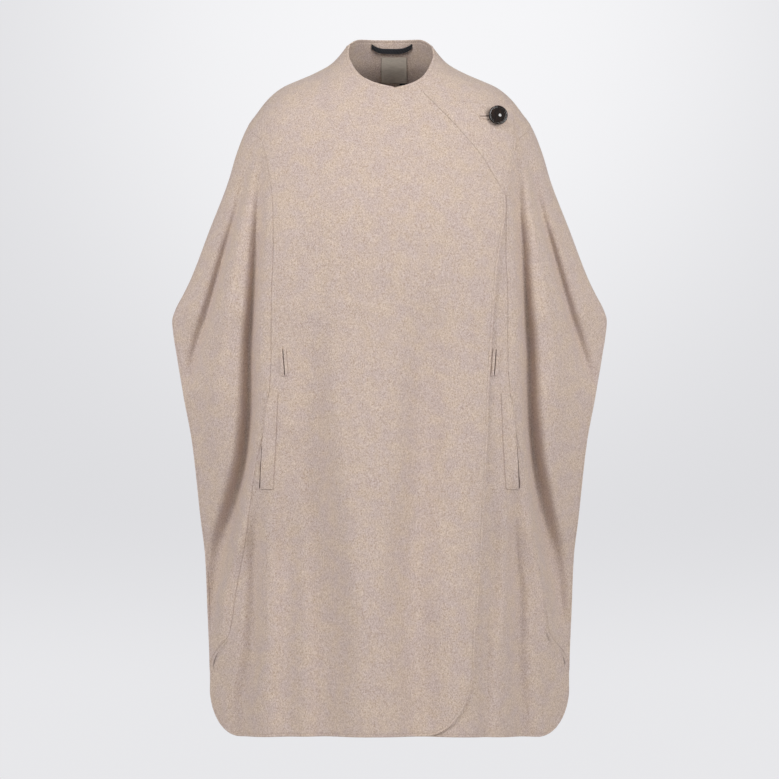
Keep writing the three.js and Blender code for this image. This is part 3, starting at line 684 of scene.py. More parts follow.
class Edge:
    """How an edge of a piece is finished. round: how far in its edge is rounded, at a height.
    sewn: whether topstitching runs beside it."""

    def __init__(self, round_in=1.3 * MM, sewn=False, rows=SEAM_ROWS):
        self.round_in = round_in if callable(round_in) else lambda z: np.full_like(z, round_in)
        self.sewn = sewn
        self.rows = EDGE_ROWS if sewn else rows


def spread(count, first_rows, last_rows, more=()):
    """Rows or columns of a stretch between two edges: first, share, last. Each lies
    first * (stretch at its start) + share * (what is left) + last * (stretch at its end)."""
    first, last = first_rows[-1], last_rows[-1]
    middle = [(first, share, 0) for share in sorted([*np.arange(1, count) / count, *more])]
    start = [(d, 0, 0) for d in first_rows]
    end = [(first, 1, last - d) for d in last_rows[::-1]]
    return np.array(start + middle + end)


def place(spans, length, first, last, first_stretch, last_stretch):
    """Distances of the rows of spread along a stretch of a given length."""
    room = length / (EDGE_ROOM * np.maximum(first * first_stretch, last * last_stretch))
    tight = np.minimum(1, room)
    a, b = first_stretch * tight, last_stretch * tight
    left = length - first * a - last * b
    return spans[..., 0] * a + spans[..., 1] * left + spans[..., 2] * b


# Heights of extra rows, where the pocket seam leaves the side and runs almost level
LEVEL_SEAMS = np.concatenate([np.linspace(-0.036, -0.112, 44), np.linspace(-0.930, -1.015, 50)])
CALM = np.linspace(-0.045, 0.045, 13)  # heights over which a guide is evened out
CALM_REACH = 0.16  # columns further than this from an edge follow the evened guide


def calm(guide, z, ruler):
    """Place of a guide without its sudden turns, so that columns away from it don't jump."""
    weights = np.cos(CALM / CALM[-1] * math.pi / 2) + 0.05
    total = sum(w * ruler.at(guide(z + d), z) for w, d in zip(weights, CALM))
    return total / weights.sum()


def sine_between(a, b):
    """Sine of the angle between two directions, kept away from nothing."""
    cross = np.linalg.norm(np.cross(a, b), axis=-1)
    size = np.linalg.norm(a, axis=-1) * np.linalg.norm(b, axis=-1)
    return np.clip(cross / np.maximum(size, 1e-12), 0.3, 1)


class Cut:
    """One cut piece of cloth: a grid whose rows run down from its top edge, and the closed shell
    on it. guides are the angles of its side edges, and of lines between them that the mesh
    follows; top and bottom give the height of its other edges for a column."""

    def __init__(self, face, guides, top, bottom, edges, lift=0.0, thick=None, step=None,
                 line_sink=None, seam_side=None):
        self.face, self.guides, self.lift, self.seam_side = face, guides, lift, seam_side
        self.thick = thick or cloth().thickness
        self.step = step or cloth().step
        self.left, self.right, self.upper, self.lower = edges
        self.line_sink = line_sink
        self.make_columns()
        self.make_rows(top, bottom)
        self.make_points()

    def rise(self, theta, z):
        return self.lift(theta, z) if callable(self.lift) else np.full_like(z, self.lift)

    def surface(self, theta, z):
        """The middle of the cloth."""
        return layer_point(self.face, theta, z, self.rise(theta, z) - self.thick / 2)

    def slant(self, guide, z):
        """How much further apart rows are, measured level, where a guide is slanted. Of the steps
        up and down the shorter counts, so that a jump of the guide doesn't."""
        step = 1 * MM
        theta = guide(z)
        here = self.surface(theta, z)
        up = self.surface(guide(z + step), z + step) - here
        down = here - self.surface(guide(z - step), z - step)
        shorter = np.linalg.norm(up, axis=-1) < np.linalg.norm(down, axis=-1)
        along = np.where(shorter[..., None], up, down)
        inward = np.where(theta > 0, -0.01, 0.01)
        return 1 / sine_between(along, self.surface(theta + inward, z) - here)

    def make_columns(self):
        z = GUIDE_HEIGHTS
        spans, interval = [], []
        last = len(self.guides) - 2
        for k in range(last + 1):
            first_rows = self.left.rows if k == 0 else LINE_ROWS
            last_rows = self.right.rows if k == last else LINE_ROWS
            a = arc(self.face).at(self.guides[k](z), z)
            b = arc(self.face).at(self.guides[k + 1](z), z)
            count = max(1, int(np.ceil(np.max(b - a) / self.step)))
            part = spread(count, first_rows, last_rows)
            if k:
                part = part[1:]
            spans.append(part)
            interval += [k] * len(part)
        self.spans = np.concatenate(spans)
        self.interval = np.array(interval)

    def angle(self, z):
        """Angles of all columns, where z has the columns as its last axis."""
        theta = np.zeros_like(z)
        ruler = arc(self.face)
        last = len(self.guides) - 2
        for k in range(last + 1):
            here = self.interval == k
            h = z[..., here]
            a, b = self.guides[k](h), self.guides[k + 1](h)
            start, end = calm(self.guides[k], h, ruler), calm(self.guides[k + 1], h, ruler)
            first = (self.left.rows if k == 0 else LINE_ROWS)[-1]
            final = (self.right.rows if k == last else LINE_ROWS)[-1]
            grow_a = self.slant(self.guides[k], h)
            grow_b = self.slant(self.guides[k + 1], h)
            room = end - start
            at = place(self.spans[here], room, first, final, grow_a, grow_b)
            reach = np.minimum(CALM_REACH, room)
            at = (start + at + (ruler.at(a, h) - start) * (1 - smooth(at, 0, reach))
                  + (ruler.at(b, h) - end) * smooth(at, room - reach, room))
            theta[..., here] = np.clip(ruler.angle(at, h), np.minimum(a, b), np.maximum(a, b))
        return theta

    def crossing(self, height, low, high):
        """Heights where the columns cross an edge. height(theta, z) gives the edge there."""
        count = len(self.interval)
        under, over = np.full(count, low), np.full(count, high)
        for _ in range(HALVINGS):
            z = (under + over) / 2
            below = z < height(self.angle(z), z)
            under, over = np.where(below, z, under), np.where(below, over, z)
        return (under + over) / 2

    def make_rows(self, top, bottom):
        self.top_z, self.end_z = top(self), bottom(self)
        stretches = []
        for z in (self.top_z, self.end_z):
            edge = self.surface(self.angle(z), z)
            along = np.gradient(edge, axis=0)
            down = self.surface(self.angle(z - MM), z - MM) - edge
            stretches.append(1 / sine_between(along, down))
        length = self.top_z - self.end_z
        first, last = self.upper.rows[-1], self.lower.rows[-1]
        count = max(1, int(np.ceil(np.max(length) / self.step)))
        self.row_spans = spread(count, self.upper.rows, self.lower.rows, self.seam_rows())
        down = place(self.row_spans[:, None, :], length, first, last, *stretches)
        self.z = self.top_z - down
        self.down_top = down / stretches[0]
        self.down_end = (length - down) / stretches[1]
        self.theta = self.angle(self.z)

    def seam_rows(self):
        """Shares of the way down for extra rows where a seam runs almost level."""
        if self.seam_side is None:
            return []
        top, end = self.top_z[self.seam_side], self.end_z[self.seam_side]
        shares = (top - LEVEL_SEAMS) / (top - end)
        return shares[(shares > 0.01) & (shares < 0.99)]

    def make_points(self):
        z, theta = self.z, self.theta
        middle = self.surface(theta, z)
        self.normal = normal_of(self.surface, self.face, theta, z)
        ruler = arc(self.face)
        at = ruler.at(theta, z)
        from_left = at - ruler.at(self.guides[0](z), z)
        from_right = ruler.at(self.guides[-1](z), z) - at
        from_left = from_left / self.slant(self.guides[0], z)
        from_right = from_right / self.slant(self.guides[-1], z)
        away = [from_left, from_right, self.down_top, self.down_end]
        half = np.full_like(z, self.thick / 2)
        for distance, edge in zip(away, (self.left, self.right, self.upper, self.lower)):
            share = np.clip(distance / edge.round_in(z), 0, 1)
            half = np.minimum(half, self.thick / 2 * np.sqrt(1 - (1 - share) ** 2))
            if edge.sewn:
                near = (distance - sewing().inset) / GROOVE
                half = half - sewing().sink * np.exp(-(near**2))
        if self.line_sink:
            line = ruler.at(self.guides[1](z), z)
            near = (at - line) / CREASE
            half = half - self.line_sink(z) * np.exp(-(near**2))
        half = np.maximum(half, 0)
        half[[0, -1]] = 0
        half[:, [0, -1]] = 0
        self.middle = middle
        self.outer = middle + self.normal * half[..., None]
        self.inner = middle - self.normal * half[..., None]

    def flat(self):
        """Width, length and area of the piece before it was hung, along the middle of the cloth."""
        across = np.linalg.norm(np.diff(self.middle, axis=1)[..., :2], axis=-1)
        down = np.linalg.norm(np.diff(self.middle, axis=0)[..., 1:], axis=-1)
        m = self.middle
        crossed = np.cross(m[1:, 1:] - m[:-1, :-1], m[1:, :-1] - m[:-1, 1:])
        area = np.linalg.norm(crossed, axis=-1).sum() / 2
        return across.sum(axis=1).max(), down.sum(axis=0).max(), float(area)

    def line(self, edge, start=None, end=None):
        """Points and normals of the topstitching beside an edge, between two heights."""
        i0, i1 = self.sewn_row(self.upper, False), self.sewn_row(self.lower, True)
        j0, j1 = self.sewn_row(self.left, False), self.sewn_row(self.right, True)
        rows, columns = slice(i0, i1 + 1 or None), slice(j0, j1 + 1 or None)
        where = {
            "left": (rows, j0), "right": (rows, j1), "upper": (i0, columns), "lower": (i1, columns),
        }[edge]
        points, normals = self.outer[where], self.normal[where]
        if start is not None:
            keep = (points[:, 2] <= start) & (points[:, 2] >= end)
            points, normals = points[keep], normals[keep]
        return points, normals

    @staticmethod
    def sewn_row(edge, from_end):
        """Place of the row where topstitching runs, or of the edge itself where there is none."""
        k = int(np.argmin(np.abs(edge.rows - sewing().inset))) if edge.sewn else 0
        return -1 - k if from_end else k

    def mesh(self, name):
        """The closed shell as a mesh."""
        rows, columns = self.z.shape
        outer = np.arange(rows * columns).reshape(rows, columns)
        inside = np.zeros((rows, columns), bool)
        inside[1:-1, 1:-1] = True
        inner = outer.copy()
        inner[inside] = rows * columns + np.arange(inside.sum())
        points = np.concatenate([self.outer.reshape(-1, 3), self.inner[inside]])

        def quads(index, flip):
            a, b = index[:-1, :-1], index[1:, :-1]
            c, d = index[1:, 1:], index[:-1, 1:]
            order = (a, d, c, b) if flip else (a, b, c, d)
            return np.stack(order, -1).reshape(-1, 4)

        back = self.face == "back"
        faces = np.concatenate([quads(outer, back), quads(inner, not back)])
        return mesh_from(name, points, faces)


def mesh_from(name, points, faces, turn_out=False):
    """A smooth mesh from points and four-sided faces, without faces of no size. turn_out turns
    all its faces outwards."""
    mesh = bpy.data.meshes.new(name)
    mesh.from_pydata(points.tolist(), [], faces.tolist())
    work = bmesh.new()
    work.from_mesh(mesh)
    bmesh.ops.remove_doubles(work, verts=work.verts, dist=2e-6)
    bmesh.ops.dissolve_degenerate(work, edges=work.edges, dist=1e-6)
    if turn_out:
        bmesh.ops.recalc_face_normals(work, faces=work.faces)
    work.to_mesh(mesh)
    work.free()
    mesh.shade_smooth()
    return mesh


def add_piece(name, mesh, material, replaced=()):
    """Links a finished mesh as a piece that rides on the cape's body."""
    piece = bpy.data.objects.new(name, mesh)
    bpy.context.scene.collection.objects.link(piece)
    mesh.materials.clear()
    mesh.materials.append(material)
    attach(piece, ROOT)
    if replaced:
        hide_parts(*replaced)
    return piece


def add_cut(name, cut, node, material=None):
    """Adds the shell of a cut piece, of wool unless another material is named."""
    return add_piece(name, cut.mesh(name), material or fulled_wool(), [node])


def declare_sheet(cut):
    """Works out the size that a piece was cut to; nothing is done with it."""
    width, length, area = cut.flat()


# Materials


def add_node(tree, kind, links=None, inputs=None, **settings):
    """Adds a node with its settings, its input values and links into its inputs."""
    node = tree.nodes.new(kind)
    for name, value in settings.items():
        setattr(node, name, value)
    for key, value in (inputs or {}).items():
        node.inputs[key].default_value = value
    for key, socket in (links or {}).items():
        tree.links.new(socket, node.inputs[key])
    return node


def new_material(name, inputs):
    """A material and its node tree, with an output and a Principled shader of given values."""
    material = bpy.data.materials.new(name)
    material.use_nodes = True
    tree = material.node_tree
    tree.nodes.clear()
    shader = add_node(tree, "ShaderNodeBsdfPrincipled", inputs=inputs)
    add_node(tree, "ShaderNodeOutputMaterial", links={"Surface": shader.outputs["BSDF"]})
    return material, tree, shader


def made_once(make):
    """Makes the material of a function's name once, and finds it from then on."""
    return lambda: bpy.data.materials.get(make.__name__) or make()


def give_surface(tree, shader, base, relief=None, strength=0.0, depth=0.0):
    """Gives a shader its colour and, where there is a relief, its fine bumps."""
    tree.links.new(base, shader.inputs["Base Color"])
    if relief is not None:
        bump = add_node(tree, "ShaderNodeBump", links={"Height": relief},
                        inputs={"Strength": strength, "Distance": depth})
        tree.links.new(bump.outputs["Normal"], shader.inputs["Normal"])


def grain(tree, where, size, detail=2.0, stretch=(1, 1, 1)):
    """Noise whose spots are about size across, in metres, on object coordinates."""
    scaled = add_node(tree, "ShaderNodeMapping", links={"Vector": where},
                      inputs={"Scale": tuple(s / size for s in stretch)})
    return add_node(tree, "ShaderNodeTexNoise", links={"Vector": scaled.outputs["Vector"]},
                    inputs={"Scale": 1.0, "Detail": detail, "Roughness": 0.6}).outputs["Fac"]


def mix_colour(tree, factor, a, b, blend="MIX"):
    """Mixes two colours, given as sockets or values."""
    node = add_node(tree, "ShaderNodeMix", data_type="RGBA", blend_type=blend)
    for socket, value in zip((node.inputs[0], node.inputs[6], node.inputs[7]), (factor, a, b)):
        if isinstance(value, bpy.types.NodeSocket):
            tree.links.new(value, socket)
        else:
            socket.default_value = value
    return node.outputs[2]


def span(tree, value, low, high):
    """Maps a range of a value to 0 to 1 and keeps it there."""
    return add_node(tree, "ShaderNodeMapRange", links={"Value": value}, inputs={
        "From Min": low, "From Max": high, "To Min": 0.0, "To Max": 1.0}).outputs["Result"]


def rgba(values):
    return (*values, 1.0)


def darker(values, share):
    """A colour as rgba, with only a share of its brightness."""
    return rgba(c * share for c in values)


def object_place(tree):
    """Place on the piece itself, which every material goes by."""
    return add_node(tree, "ShaderNodeTexCoord").outputs["Object"]


@made_once
def fulled_wool():
    """Double-faced wool, fulled and brushed. Its light and dark fibres are mixed before spinning,
    which gives the eye a fine upright heather, and its nap makes soft pale edges."""
    material, tree, shader = new_material("fulled_wool", {
        "Roughness": 0.92, "Specular IOR Level": 0.25, "IOR": 1.54, "Sheen Weight": 0.35,
        "Sheen Roughness": 0.45, "Sheen Tint": rgba(colour("efe6de"))})
    at = object_place(tree)
    upright = (1, 1, 0.6)
    heather = grain(tree, at, 1.7 * MM, 2.0, upright)
    fleck = grain(tree, at, 0.9 * MM, 1.0, upright)
    cloud = grain(tree, at, 26 * MM, 2.0)
    both = add_node(tree, "ShaderNodeMath", operation="MULTIPLY_ADD",
                    links={0: heather, 2: fleck}, inputs={1: 1.0}).outputs[0]
    share = span(tree, both, 0.77, 1.23)
    base = mix_colour(tree, share, rgba(cloth().dark_wool), rgba(cloth().light_wool))
    warm = mix_colour(tree, span(tree, cloud, 0.35, 0.65), rgba(colour("fffaf2")),
                      rgba(colour("f8f4f6")))
    painted = mix_colour(tree, 1.0, base, warm, "MULTIPLY")
    relief = add_node(tree, "ShaderNodeMath", operation="MULTIPLY_ADD",
                      links={0: fleck, 2: heather}, inputs={1: 0.6}).outputs[0]
    give_surface(tree, shader, painted, relief, 0.5, 0.5 * MM)
    return material


@made_once
def polyester_thread():
    """Spun polyester sewing thread: two plies in a tight twist, a little glossier than wool."""
    material, tree, shader = new_material(
        "polyester_thread", {"Roughness": 0.6, "Sheen Weight": 0.15})
    shade = span(tree, grain(tree, object_place(tree), 0.6 * MM), 0.3, 0.7)
    base = mix_colour(tree, shade, darker(sewing().colour, 0.7), rgba(sewing().colour))
    give_surface(tree, shader, base)
    return material


@made_once
def polished_resin():
    """Polished polyester resin with a horn look: near black, faint brown streaks, a wet gloss."""
    material, tree, shader = new_material("polished_resin", {"Roughness": 0.09, "IOR": 1.5})
    streak = span(tree, grain(tree, object_place(tree), 5 * MM, 4.0, (1, 1, 0.3)), 0.42, 0.7)
    base = mix_colour(tree, streak, rgba(trim().button_colour), rgba(colour("2f211a")))
    give_surface(tree, shader, base)
    return material


@made_once
def twill_tape():
    """Black woven twill tape: fine slanted ribs with a dull silky light."""
    material, tree, shader = new_material("twill_tape", {"Roughness": 0.55, "Sheen Weight": 0.2})
    rib = 1.1 * MM
    wave = add_node(tree, "ShaderNodeTexWave", links={"Vector": object_place(tree)},
                    bands_direction="DIAGONAL",
                    inputs={"Scale": 1 / (20 * rib) * math.tau / 2, "Distortion": 0.3})
    base = mix_colour(tree, wave.outputs["Fac"], rgba(trim().tape_colour), rgba(colour("2a2b30")))
    give_surface(tree, shader, base, wave.outputs["Fac"], 0.4, 0.2 * MM)
    return material


@made_once
def woven_satin():
    """Bare woven satin label: long floats across give it a soft sideways shine."""
    material, tree, shader = new_material("woven_satin", {"Roughness": 0.48})
    floats = grain(tree, object_place(tree), 1.6 * MM, 1.0, (0.25, 0.25, 1.6))
    base = mix_colour(tree, span(tree, floats, 0.35, 0.65), darker(trim().label_colour, 0.86),
                      rgba(trim().label_colour))
    give_surface(tree, shader, base, floats, 0.3, 0.2 * MM)
    return material


# Edges of the pieces


def right_side(z):
    return np.full_like(z, -math.pi / 2)


def left_side(z):
    return np.full_like(z, math.pi / 2)


def seam_angle(z):
    """Angle of the pocket seam, or of the side where the seam has run out to it."""
    left = np.where(z > (SEAM_TOP + SEAM_END) / 2, SEAM_RUNOUT["top"], SEAM_RUNOUT["end"])
    begun = smooth(SEAM_TOP - z, 0, SEAM_EASE[0]) * smooth(z - SEAM_END, 0, SEAM_EASE[1])
    inward = (math.pi / 2 - angle_at(pocket_seam(z), z)) * begun
    on_seam = (z < SEAM_TOP) & (z > SEAM_END)
    return math.pi / 2 - np.where(on_seam, np.maximum(inward, left), 0)


def corner_rise(corner, distance):
    """How far a rounded corner lifts the hem, at a distance from the edge that it meets."""
    across, up = corner
    inward = np.clip((across - distance) / across, 0, 1)
    return up * (1 - np.sqrt(1 - inward**2))


def hem_height(face, theta, z):
    share = np.abs(np.sin(theta))
    rise = HEM_RISE * (1 - share**2) if face == "front" else 0
    return HEM + rise + corner_rise(HEM_CORNER, section["half"](z) * (1 - share))


def wrap_hem_height(theta, z):
    distance = wrap_edge(z) - section["half"](z) * np.sin(theta)
    return hem_height("front", theta, z) + corner_rise(WRAP_CORNER, distance)


def front_top_height(theta, z):
    out = np.sin(theta) - V_POINT
    return np.where(out < 0, neckline(-out), wrap_top(out))


def under_top_height(theta, z):
    out = np.sin(theta) - V_POINT
    return np.where(out > 0, neckline(out), wrap_top(-out) - UNDER_LOWER)


def back_top_height(theta, z):
    return COLLAR_BACK - (COLLAR_BACK - COLLAR_SIDE) * np.abs(np.sin(theta)) ** BACK_FLAT


def at_top(height):
    return lambda cut: cut.crossing(height, *TOP_HEIGHTS)


def at_hem(height):
    return lambda cut: cut.crossing(height, *HEM_HEIGHTS)


def level(z):
    return lambda cut: np.full(len(cut.interval), z)


def straight_down(*places):
    """Guides that run straight down at given distances from the middle."""
    return [lambda z, x=x: angle_at(np.full_like(z, x), z) for x in places]


def mirrored(guides):
    """The same guides on the wearer's other side."""
    return [lambda z, guide=guide: -guide(z) for guide in guides[::-1]]


def wrap_angle(z):
    return angle_at(wrap_edge(z), z)


def wrap_lift(theta, z):
    """The top front stands out only where the under front lies below it."""
    x = section["half"](z) * np.sin(theta)
    over = smooth(x, UNDER_EDGE - LIFT_EASE[0], UNDER_EDGE - LIFT_EASE[1])
    return flap_lift() * over * (1 - smooth(z, *LIFT_TOP))


def flap_lift():
    return cloth().thickness + cloth().layer_air


def back_seam_angle(z):
    lean, low, high = BACK_LEAN
    return angle_at(lean * smooth(z, low, high), z)


def fading_seam(z):
    """The pocket seam is pressed flat towards the shoulder and shows less there."""
    return SEAM_ROUND[0] + SEAM_ROUND[1] * smooth(-z, *SEAM_SHOWS)


PLAIN = Edge()
FREE = Edge(1.2 * MM, sewn=True)
PRESSED = Edge(fading_seam)
paths = []  # topstitching: points and normals of each line


def sew(cut, *edges, start=None, end=None):
    """Notes the topstitching lines of a piece."""
    for edge in edges:
        paths.append(cut.line(edge, start, end))


# Operators


class CAPE_OT_fronts(bpy.types.Operator):
    """Make the two fronts and the flap"""

    bl_idname = "cape.fronts"
    bl_label = "Fronts and flap"

    def execute(self, context):
        right = Cut("front", [lambda z: -seam_angle(z), wrap_angle], at_top(front_top_height),
                    at_hem(wrap_hem_height), (PRESSED, FREE, FREE, FREE), wrap_lift, seam_side=0)
        piece = add_cut("wool_front_right", right, "front_right")
        cut_mouths(piece, -1)
        declare_sheet(right)
        sew(right, "upper", "lower")
        sew(right, "right", start=FLAP_END, end=HEM)

        def hidden(z):
            return np.maximum(angle_at(np.full_like(z, UNDER_EDGE), z), math.asin(UNDER_SHARE))

        left = Cut("front", [hidden, seam_angle], at_top(under_top_height),
                   at_hem(lambda t, z: hem_height("front", t, z)), (PLAIN, PRESSED, FREE, FREE),
                   seam_side=-1)
        piece = add_cut("wool_front_left", left, "front_left")
        cut_mouths(piece, 1)
        declare_sheet(left)
        sew(left, "upper", "lower")

        flap = Cut("front", [wrap_angle, lambda z: angle_at(flap_edge(z), z)],
                   at_top(front_top_height), level(FLAP_END), (PLAIN, FREE, FREE, PLAIN),
                   flap_lift())
        piece = add_cut("wool_flap", flap, "front_flap")
        declare_sheet(flap)
        cut_slot(piece, [(BUTTONHOLE[0] + SLOT_INSET, BUTTON_Z), (BUTTON_X, BUTTON_Z)],
                 HOLE_SLOT, FLAP_REACH)
        sew(flap, "upper", "right")
        return {"FINISHED"}


def cut_slot(piece, ends, width, reach):
    """Cuts a narrow slot straight through a piece of cloth, from front to back. ends: x and z of
    its two ends."""
    (x0, z0), (x1, z1) = ends
    across = np.array([z1 - z0, x0 - x1]) / math.hypot(x1 - x0, z1 - z0) * width / 2
    corners = [
        (x + side * across[0], y, z + side * across[1])
        for x, z in ends
        for side, y in ((-1, reach[0]), (1, reach[0]), (1, reach[1]), (-1, reach[1]))
    ]
    work = bmesh.new()
    verts = [work.verts.new(corner) for corner in corners]
    for face in ((3, 2, 1, 0), (4, 5, 6, 7), (0, 1, 5, 4), (1, 2, 6, 5), (2, 3, 7, 6),
                 (3, 0, 4, 7)):
        work.faces.new([verts[i] for i in face])
    bmesh.ops.recalc_face_normals(work, faces=work.faces)
    cutter = bpy.data.objects.new("cutter", bpy.data.meshes.new("cutter"))
    work.to_mesh(cutter.data)
    work.free()
    bpy.context.scene.collection.objects.link(cutter)
    cut = piece.modifiers.new("slot", "BOOLEAN")
    cut.operation, cut.solver, cut.object = "DIFFERENCE", "EXACT", cutter
    bpy.context.view_layer.update()
    finished = bpy.data.meshes.new_from_object(
        piece.evaluated_get(bpy.context.evaluated_depsgraph_get()))
    piece.modifiers.remove(cut)
    piece.data = finished
    bpy.data.objects.remove(cutter)


def cut_mouths(piece, sign):
    """Cuts the mouth of a belt slit and of a pocket straight through a front."""
    slit, pocket = curve(SLIT, "x"), curve(POCKET_WELT, "outer")
    low, high = SLIT["z"][0] + SLIT_INSET, SLIT["z"][1] - SLIT_INSET
    cut_slot(piece, [(sign * slit(z), z) for z in (low, high)], SLIT_MOUTH, CUT_REACH)
    low, high = POCKET_MOUTH
    beside, width = POCKET_CUT
    for start, end in ((low, (low + high) / 2), ((low + high) / 2, high)):
        ends = [(sign * (pocket(z) + beside), z) for z in (start, end)]
        cut_slot(piece, ends, width, CUT_REACH)


ARM_SEAM_SINK = 0.55 * MM  # depth of the crease along the seam over the arm


class CAPE_OT_sides(bpy.types.Operator):
    """Make the two side panels, with the seam over the arm"""

    bl_idname = "cape.sides"
    bl_label = "Side panels"

    def execute(self, context):
        def arm_line(z):
            ruler = arc("front")
            low, high = ruler.at(seam_angle(z), z), ruler.at(left_side(z), z)
            at = ruler.at(angle_at(arm_seam(z), z), z)
            room = high - low
            margin = 0.2 * room
            return ruler.angle(np.clip(at, low + margin, high - margin), z)

        def line_sink(z):
            return ARM_SEAM_SINK * arm_seam_shows(z)

        for hand, sign in SIGNS.items():
            guides, edges = [seam_angle, arm_line, left_side], [PRESSED, FREE]
            if sign < 0:
                guides, edges = mirrored(guides), edges[::-1]
            panel = Cut("front", guides, level(SEAM_TOP), level(SEAM_END), (*edges, PLAIN, PLAIN),
                        line_sink=line_sink, seam_side=0)
            piece = add_cut(f"wool_side_{hand}", panel, f"side_{hand}")
            declare_sheet(panel)
            sew(panel, "left" if sign < 0 else "right")
        return {"FINISHED"}


class CAPE_OT_backs(bpy.types.Operator):
    """Make the two halves of the back"""

    bl_idname = "cape.backs"
    bl_label = "Back halves"

    def execute(self, context):
        for hand, sign in SIGNS.items():
            guides = [right_side, back_seam_angle] if sign < 0 else [back_seam_angle, left_side]
            edges = (FREE, PLAIN) if sign < 0 else (PLAIN, FREE)
            half = Cut("back", guides, at_top(back_top_height),
                       at_hem(lambda t, z: hem_height("back", t, z)), (*edges, FREE, FREE))
            piece = add_cut(f"wool_back_{hand}", half, f"back_{hand}")
            declare_sheet(half)
            sew(half, "upper", "lower", "left" if sign < 0 else "right")
        return {"FINISHED"}


WELT_GAPE = 2.6 * MM  # how far the outer edge of a welt stands open
WELT_THICK = 1.6 * MM
SLIT_LIP_THICK = 1.4 * MM
HOLE_LIP_THICK = 1.2 * MM
STRIP_AIR = 0.1 * MM  # air between a strip and the cloth under it


class CAPE_OT_pockets(bpy.types.Operator):
    """Make the two pocket welts"""

    bl_idname = "cape.pockets"
    bl_label = "Pocket welts"

    def execute(self, context):
        inner, outer = curve(POCKET_WELT, "inner"), curve(POCKET_WELT, "outer")
        for hand, sign in SIGNS.items():
            lines = [lambda z: angle_at(inner(z), z), lambda z: angle_at(outer(z), z)]
            if sign < 0:
                lines = mirrored(lines)

            def gape(theta, z):
                out = (section["half"](z) * np.abs(np.sin(theta)) - inner(z)) / (
                    outer(z) - inner(z))
                ends = np.sin(math.pi * (z - z_low) / (z_high - z_low))
                return WELT_GAPE * smooth(out, 0.2, 1) * np.maximum(ends, 0) ** 0.5

            z_low, z_high = POCKET_WELT["z"][0], POCKET_WELT["z"][-1]
            welt = strip(lines, z_high, z_low, WELT_THICK, lift=gape)
            piece = add_cut(f"pocket_welt_cloth_{hand}", welt, f"pocket_welt_{hand}")
            declare_sheet(welt)
        return {"FINISHED"}


def strip(lines, top, bottom, thick, base=STRIP_AIR, step=3 * MM, face="front", lift=None):
    """A narrow strip of cloth that lies on a panel between two lines, on a base height. lift
    raises parts of it."""
    edge = Edge(0.5 * thick, rows=STRIP_ROWS)

    def rise(theta, z):
        return base + thick + (lift(theta, z) if lift else np.zeros_like(z))

    return Cut(face, lines, level(top), level(bottom), (edge,) * 4, rise, thick, step)


class CAPE_OT_belt_slits(bpy.types.Operator):
    """Make the lips of the two belt slits"""

    bl_idname = "cape.belt_slits"
    bl_label = "Belt slits"

    def execute(self, context):
        line = curve(SLIT, "x")
        for hand, sign in SIGNS.items():
            for side, outward in (("inner", -1), ("outer", 1)):
                near, far = outward * SLIT_MOUTH / 2, outward * (SLIT_MOUTH / 2 + SLIT_LIP)
                edges = sorted((sign * near, sign * far))
                lines = [
                    lambda z, shift=shift: angle_at(sign * line(z) + shift, z) for shift in edges]
                lip = strip(lines, SLIT["z"][1], SLIT["z"][0], SLIT_LIP_THICK)
                add_cut(f"belt_slit_{side}_{hand}", lip, f"slit_{side}_{hand}")
        return {"FINISHED"}


BUTTON_X, BUTTON_Z = 0.178, -0.054  # where the button sits
BUTTON_STAND = 6 * MM  # its back stands this far out from the flap
BUTTON_TILT = 0.4  # how much it leans with the cloth
CAD_FLAP_LIFT = 4.2 * MM  # how far the solid flap stands out, which the button rests on
BUTTONHOLE = (0.1495, 0.166)  # where its lips begin and end, from the middle of the cape
HOLE_SLOT, HOLE_LIP = 1.8 * MM, 3.6 * MM  # width of its slot and of one lip
SLOT_INSET = 1.5 * MM  # how far inside the end of its lips the buttonhole is cut
FLAP_REACH = (-0.12, -0.074)  # depths between which the buttonhole is cut


class CAPE_OT_button(bpy.types.Operator):
    """Make the domed button and the lips of its buttonhole"""

    bl_idname = "cape.button"
    bl_label = "Button and buttonhole"

    def execute(self, context):
        profile = table("""
            out   up
            0.00  0.0003
            0.30  0.0001
            0.60  0.0006
            0.80  0.0016
            0.93  0.0026
            0.985 0.0034
            1.00  0.0041
            0.99  0.0048
            0.955 0.0053
            0.90  0.00555
            0.85  0.0055
            0.815 0.0052
            0.79  0.0050
            0.76  0.0051
            0.70  0.0056
            0.60  0.0063
            0.48  0.0070
            0.34  0.0076
            0.18  0.0080
            0.00  0.0082
        """)
        foot, facing = button_place()
        rings, segments = len(profile["out"]), 96
        turn = np.linspace(0, 2 * math.pi, segments, endpoint=False)
        side = np.cross(facing, (0, 0, 1))
        side /= np.linalg.norm(side)
        up = np.cross(side, facing)
        around = np.cos(turn)[:, None] * side + np.sin(turn)[:, None] * up
        seat = foot + facing * BUTTON_STAND
        radius = profile["out"] * trim().button_radius
        points = (seat + radius[:, None, None] * around
                  + profile["up"][:, None, None] * facing).reshape(-1, 3)
        i, j = np.meshgrid(np.arange(rings - 1), np.arange(segments), indexing="ij")
        k = (j + 1) % segments
        faces = np.stack([i * segments + j, (i + 1) * segments + j,
                          (i + 1) * segments + k, i * segments + k], -1).reshape(-1, 4)
        mesh = mesh_from("button", points, faces, turn_out=True)
        add_piece("resin_button", mesh, polished_resin(), ["button"])

        for name, sign in (("upper", 1), ("lower", -1)):
            near = BUTTON_Z + sign * HOLE_SLOT / 2
            far = BUTTON_Z + sign * (HOLE_SLOT / 2 + HOLE_LIP)
            lip = strip(straight_down(*BUTTONHOLE), max(near, far), min(near, far),
                        HOLE_LIP_THICK, base=flap_lift() + STRIP_AIR, step=2 * MM)
            add_cut(f"buttonhole_lip_{name}", lip, f"buttonhole_{name}")
        return {"FINISHED"}


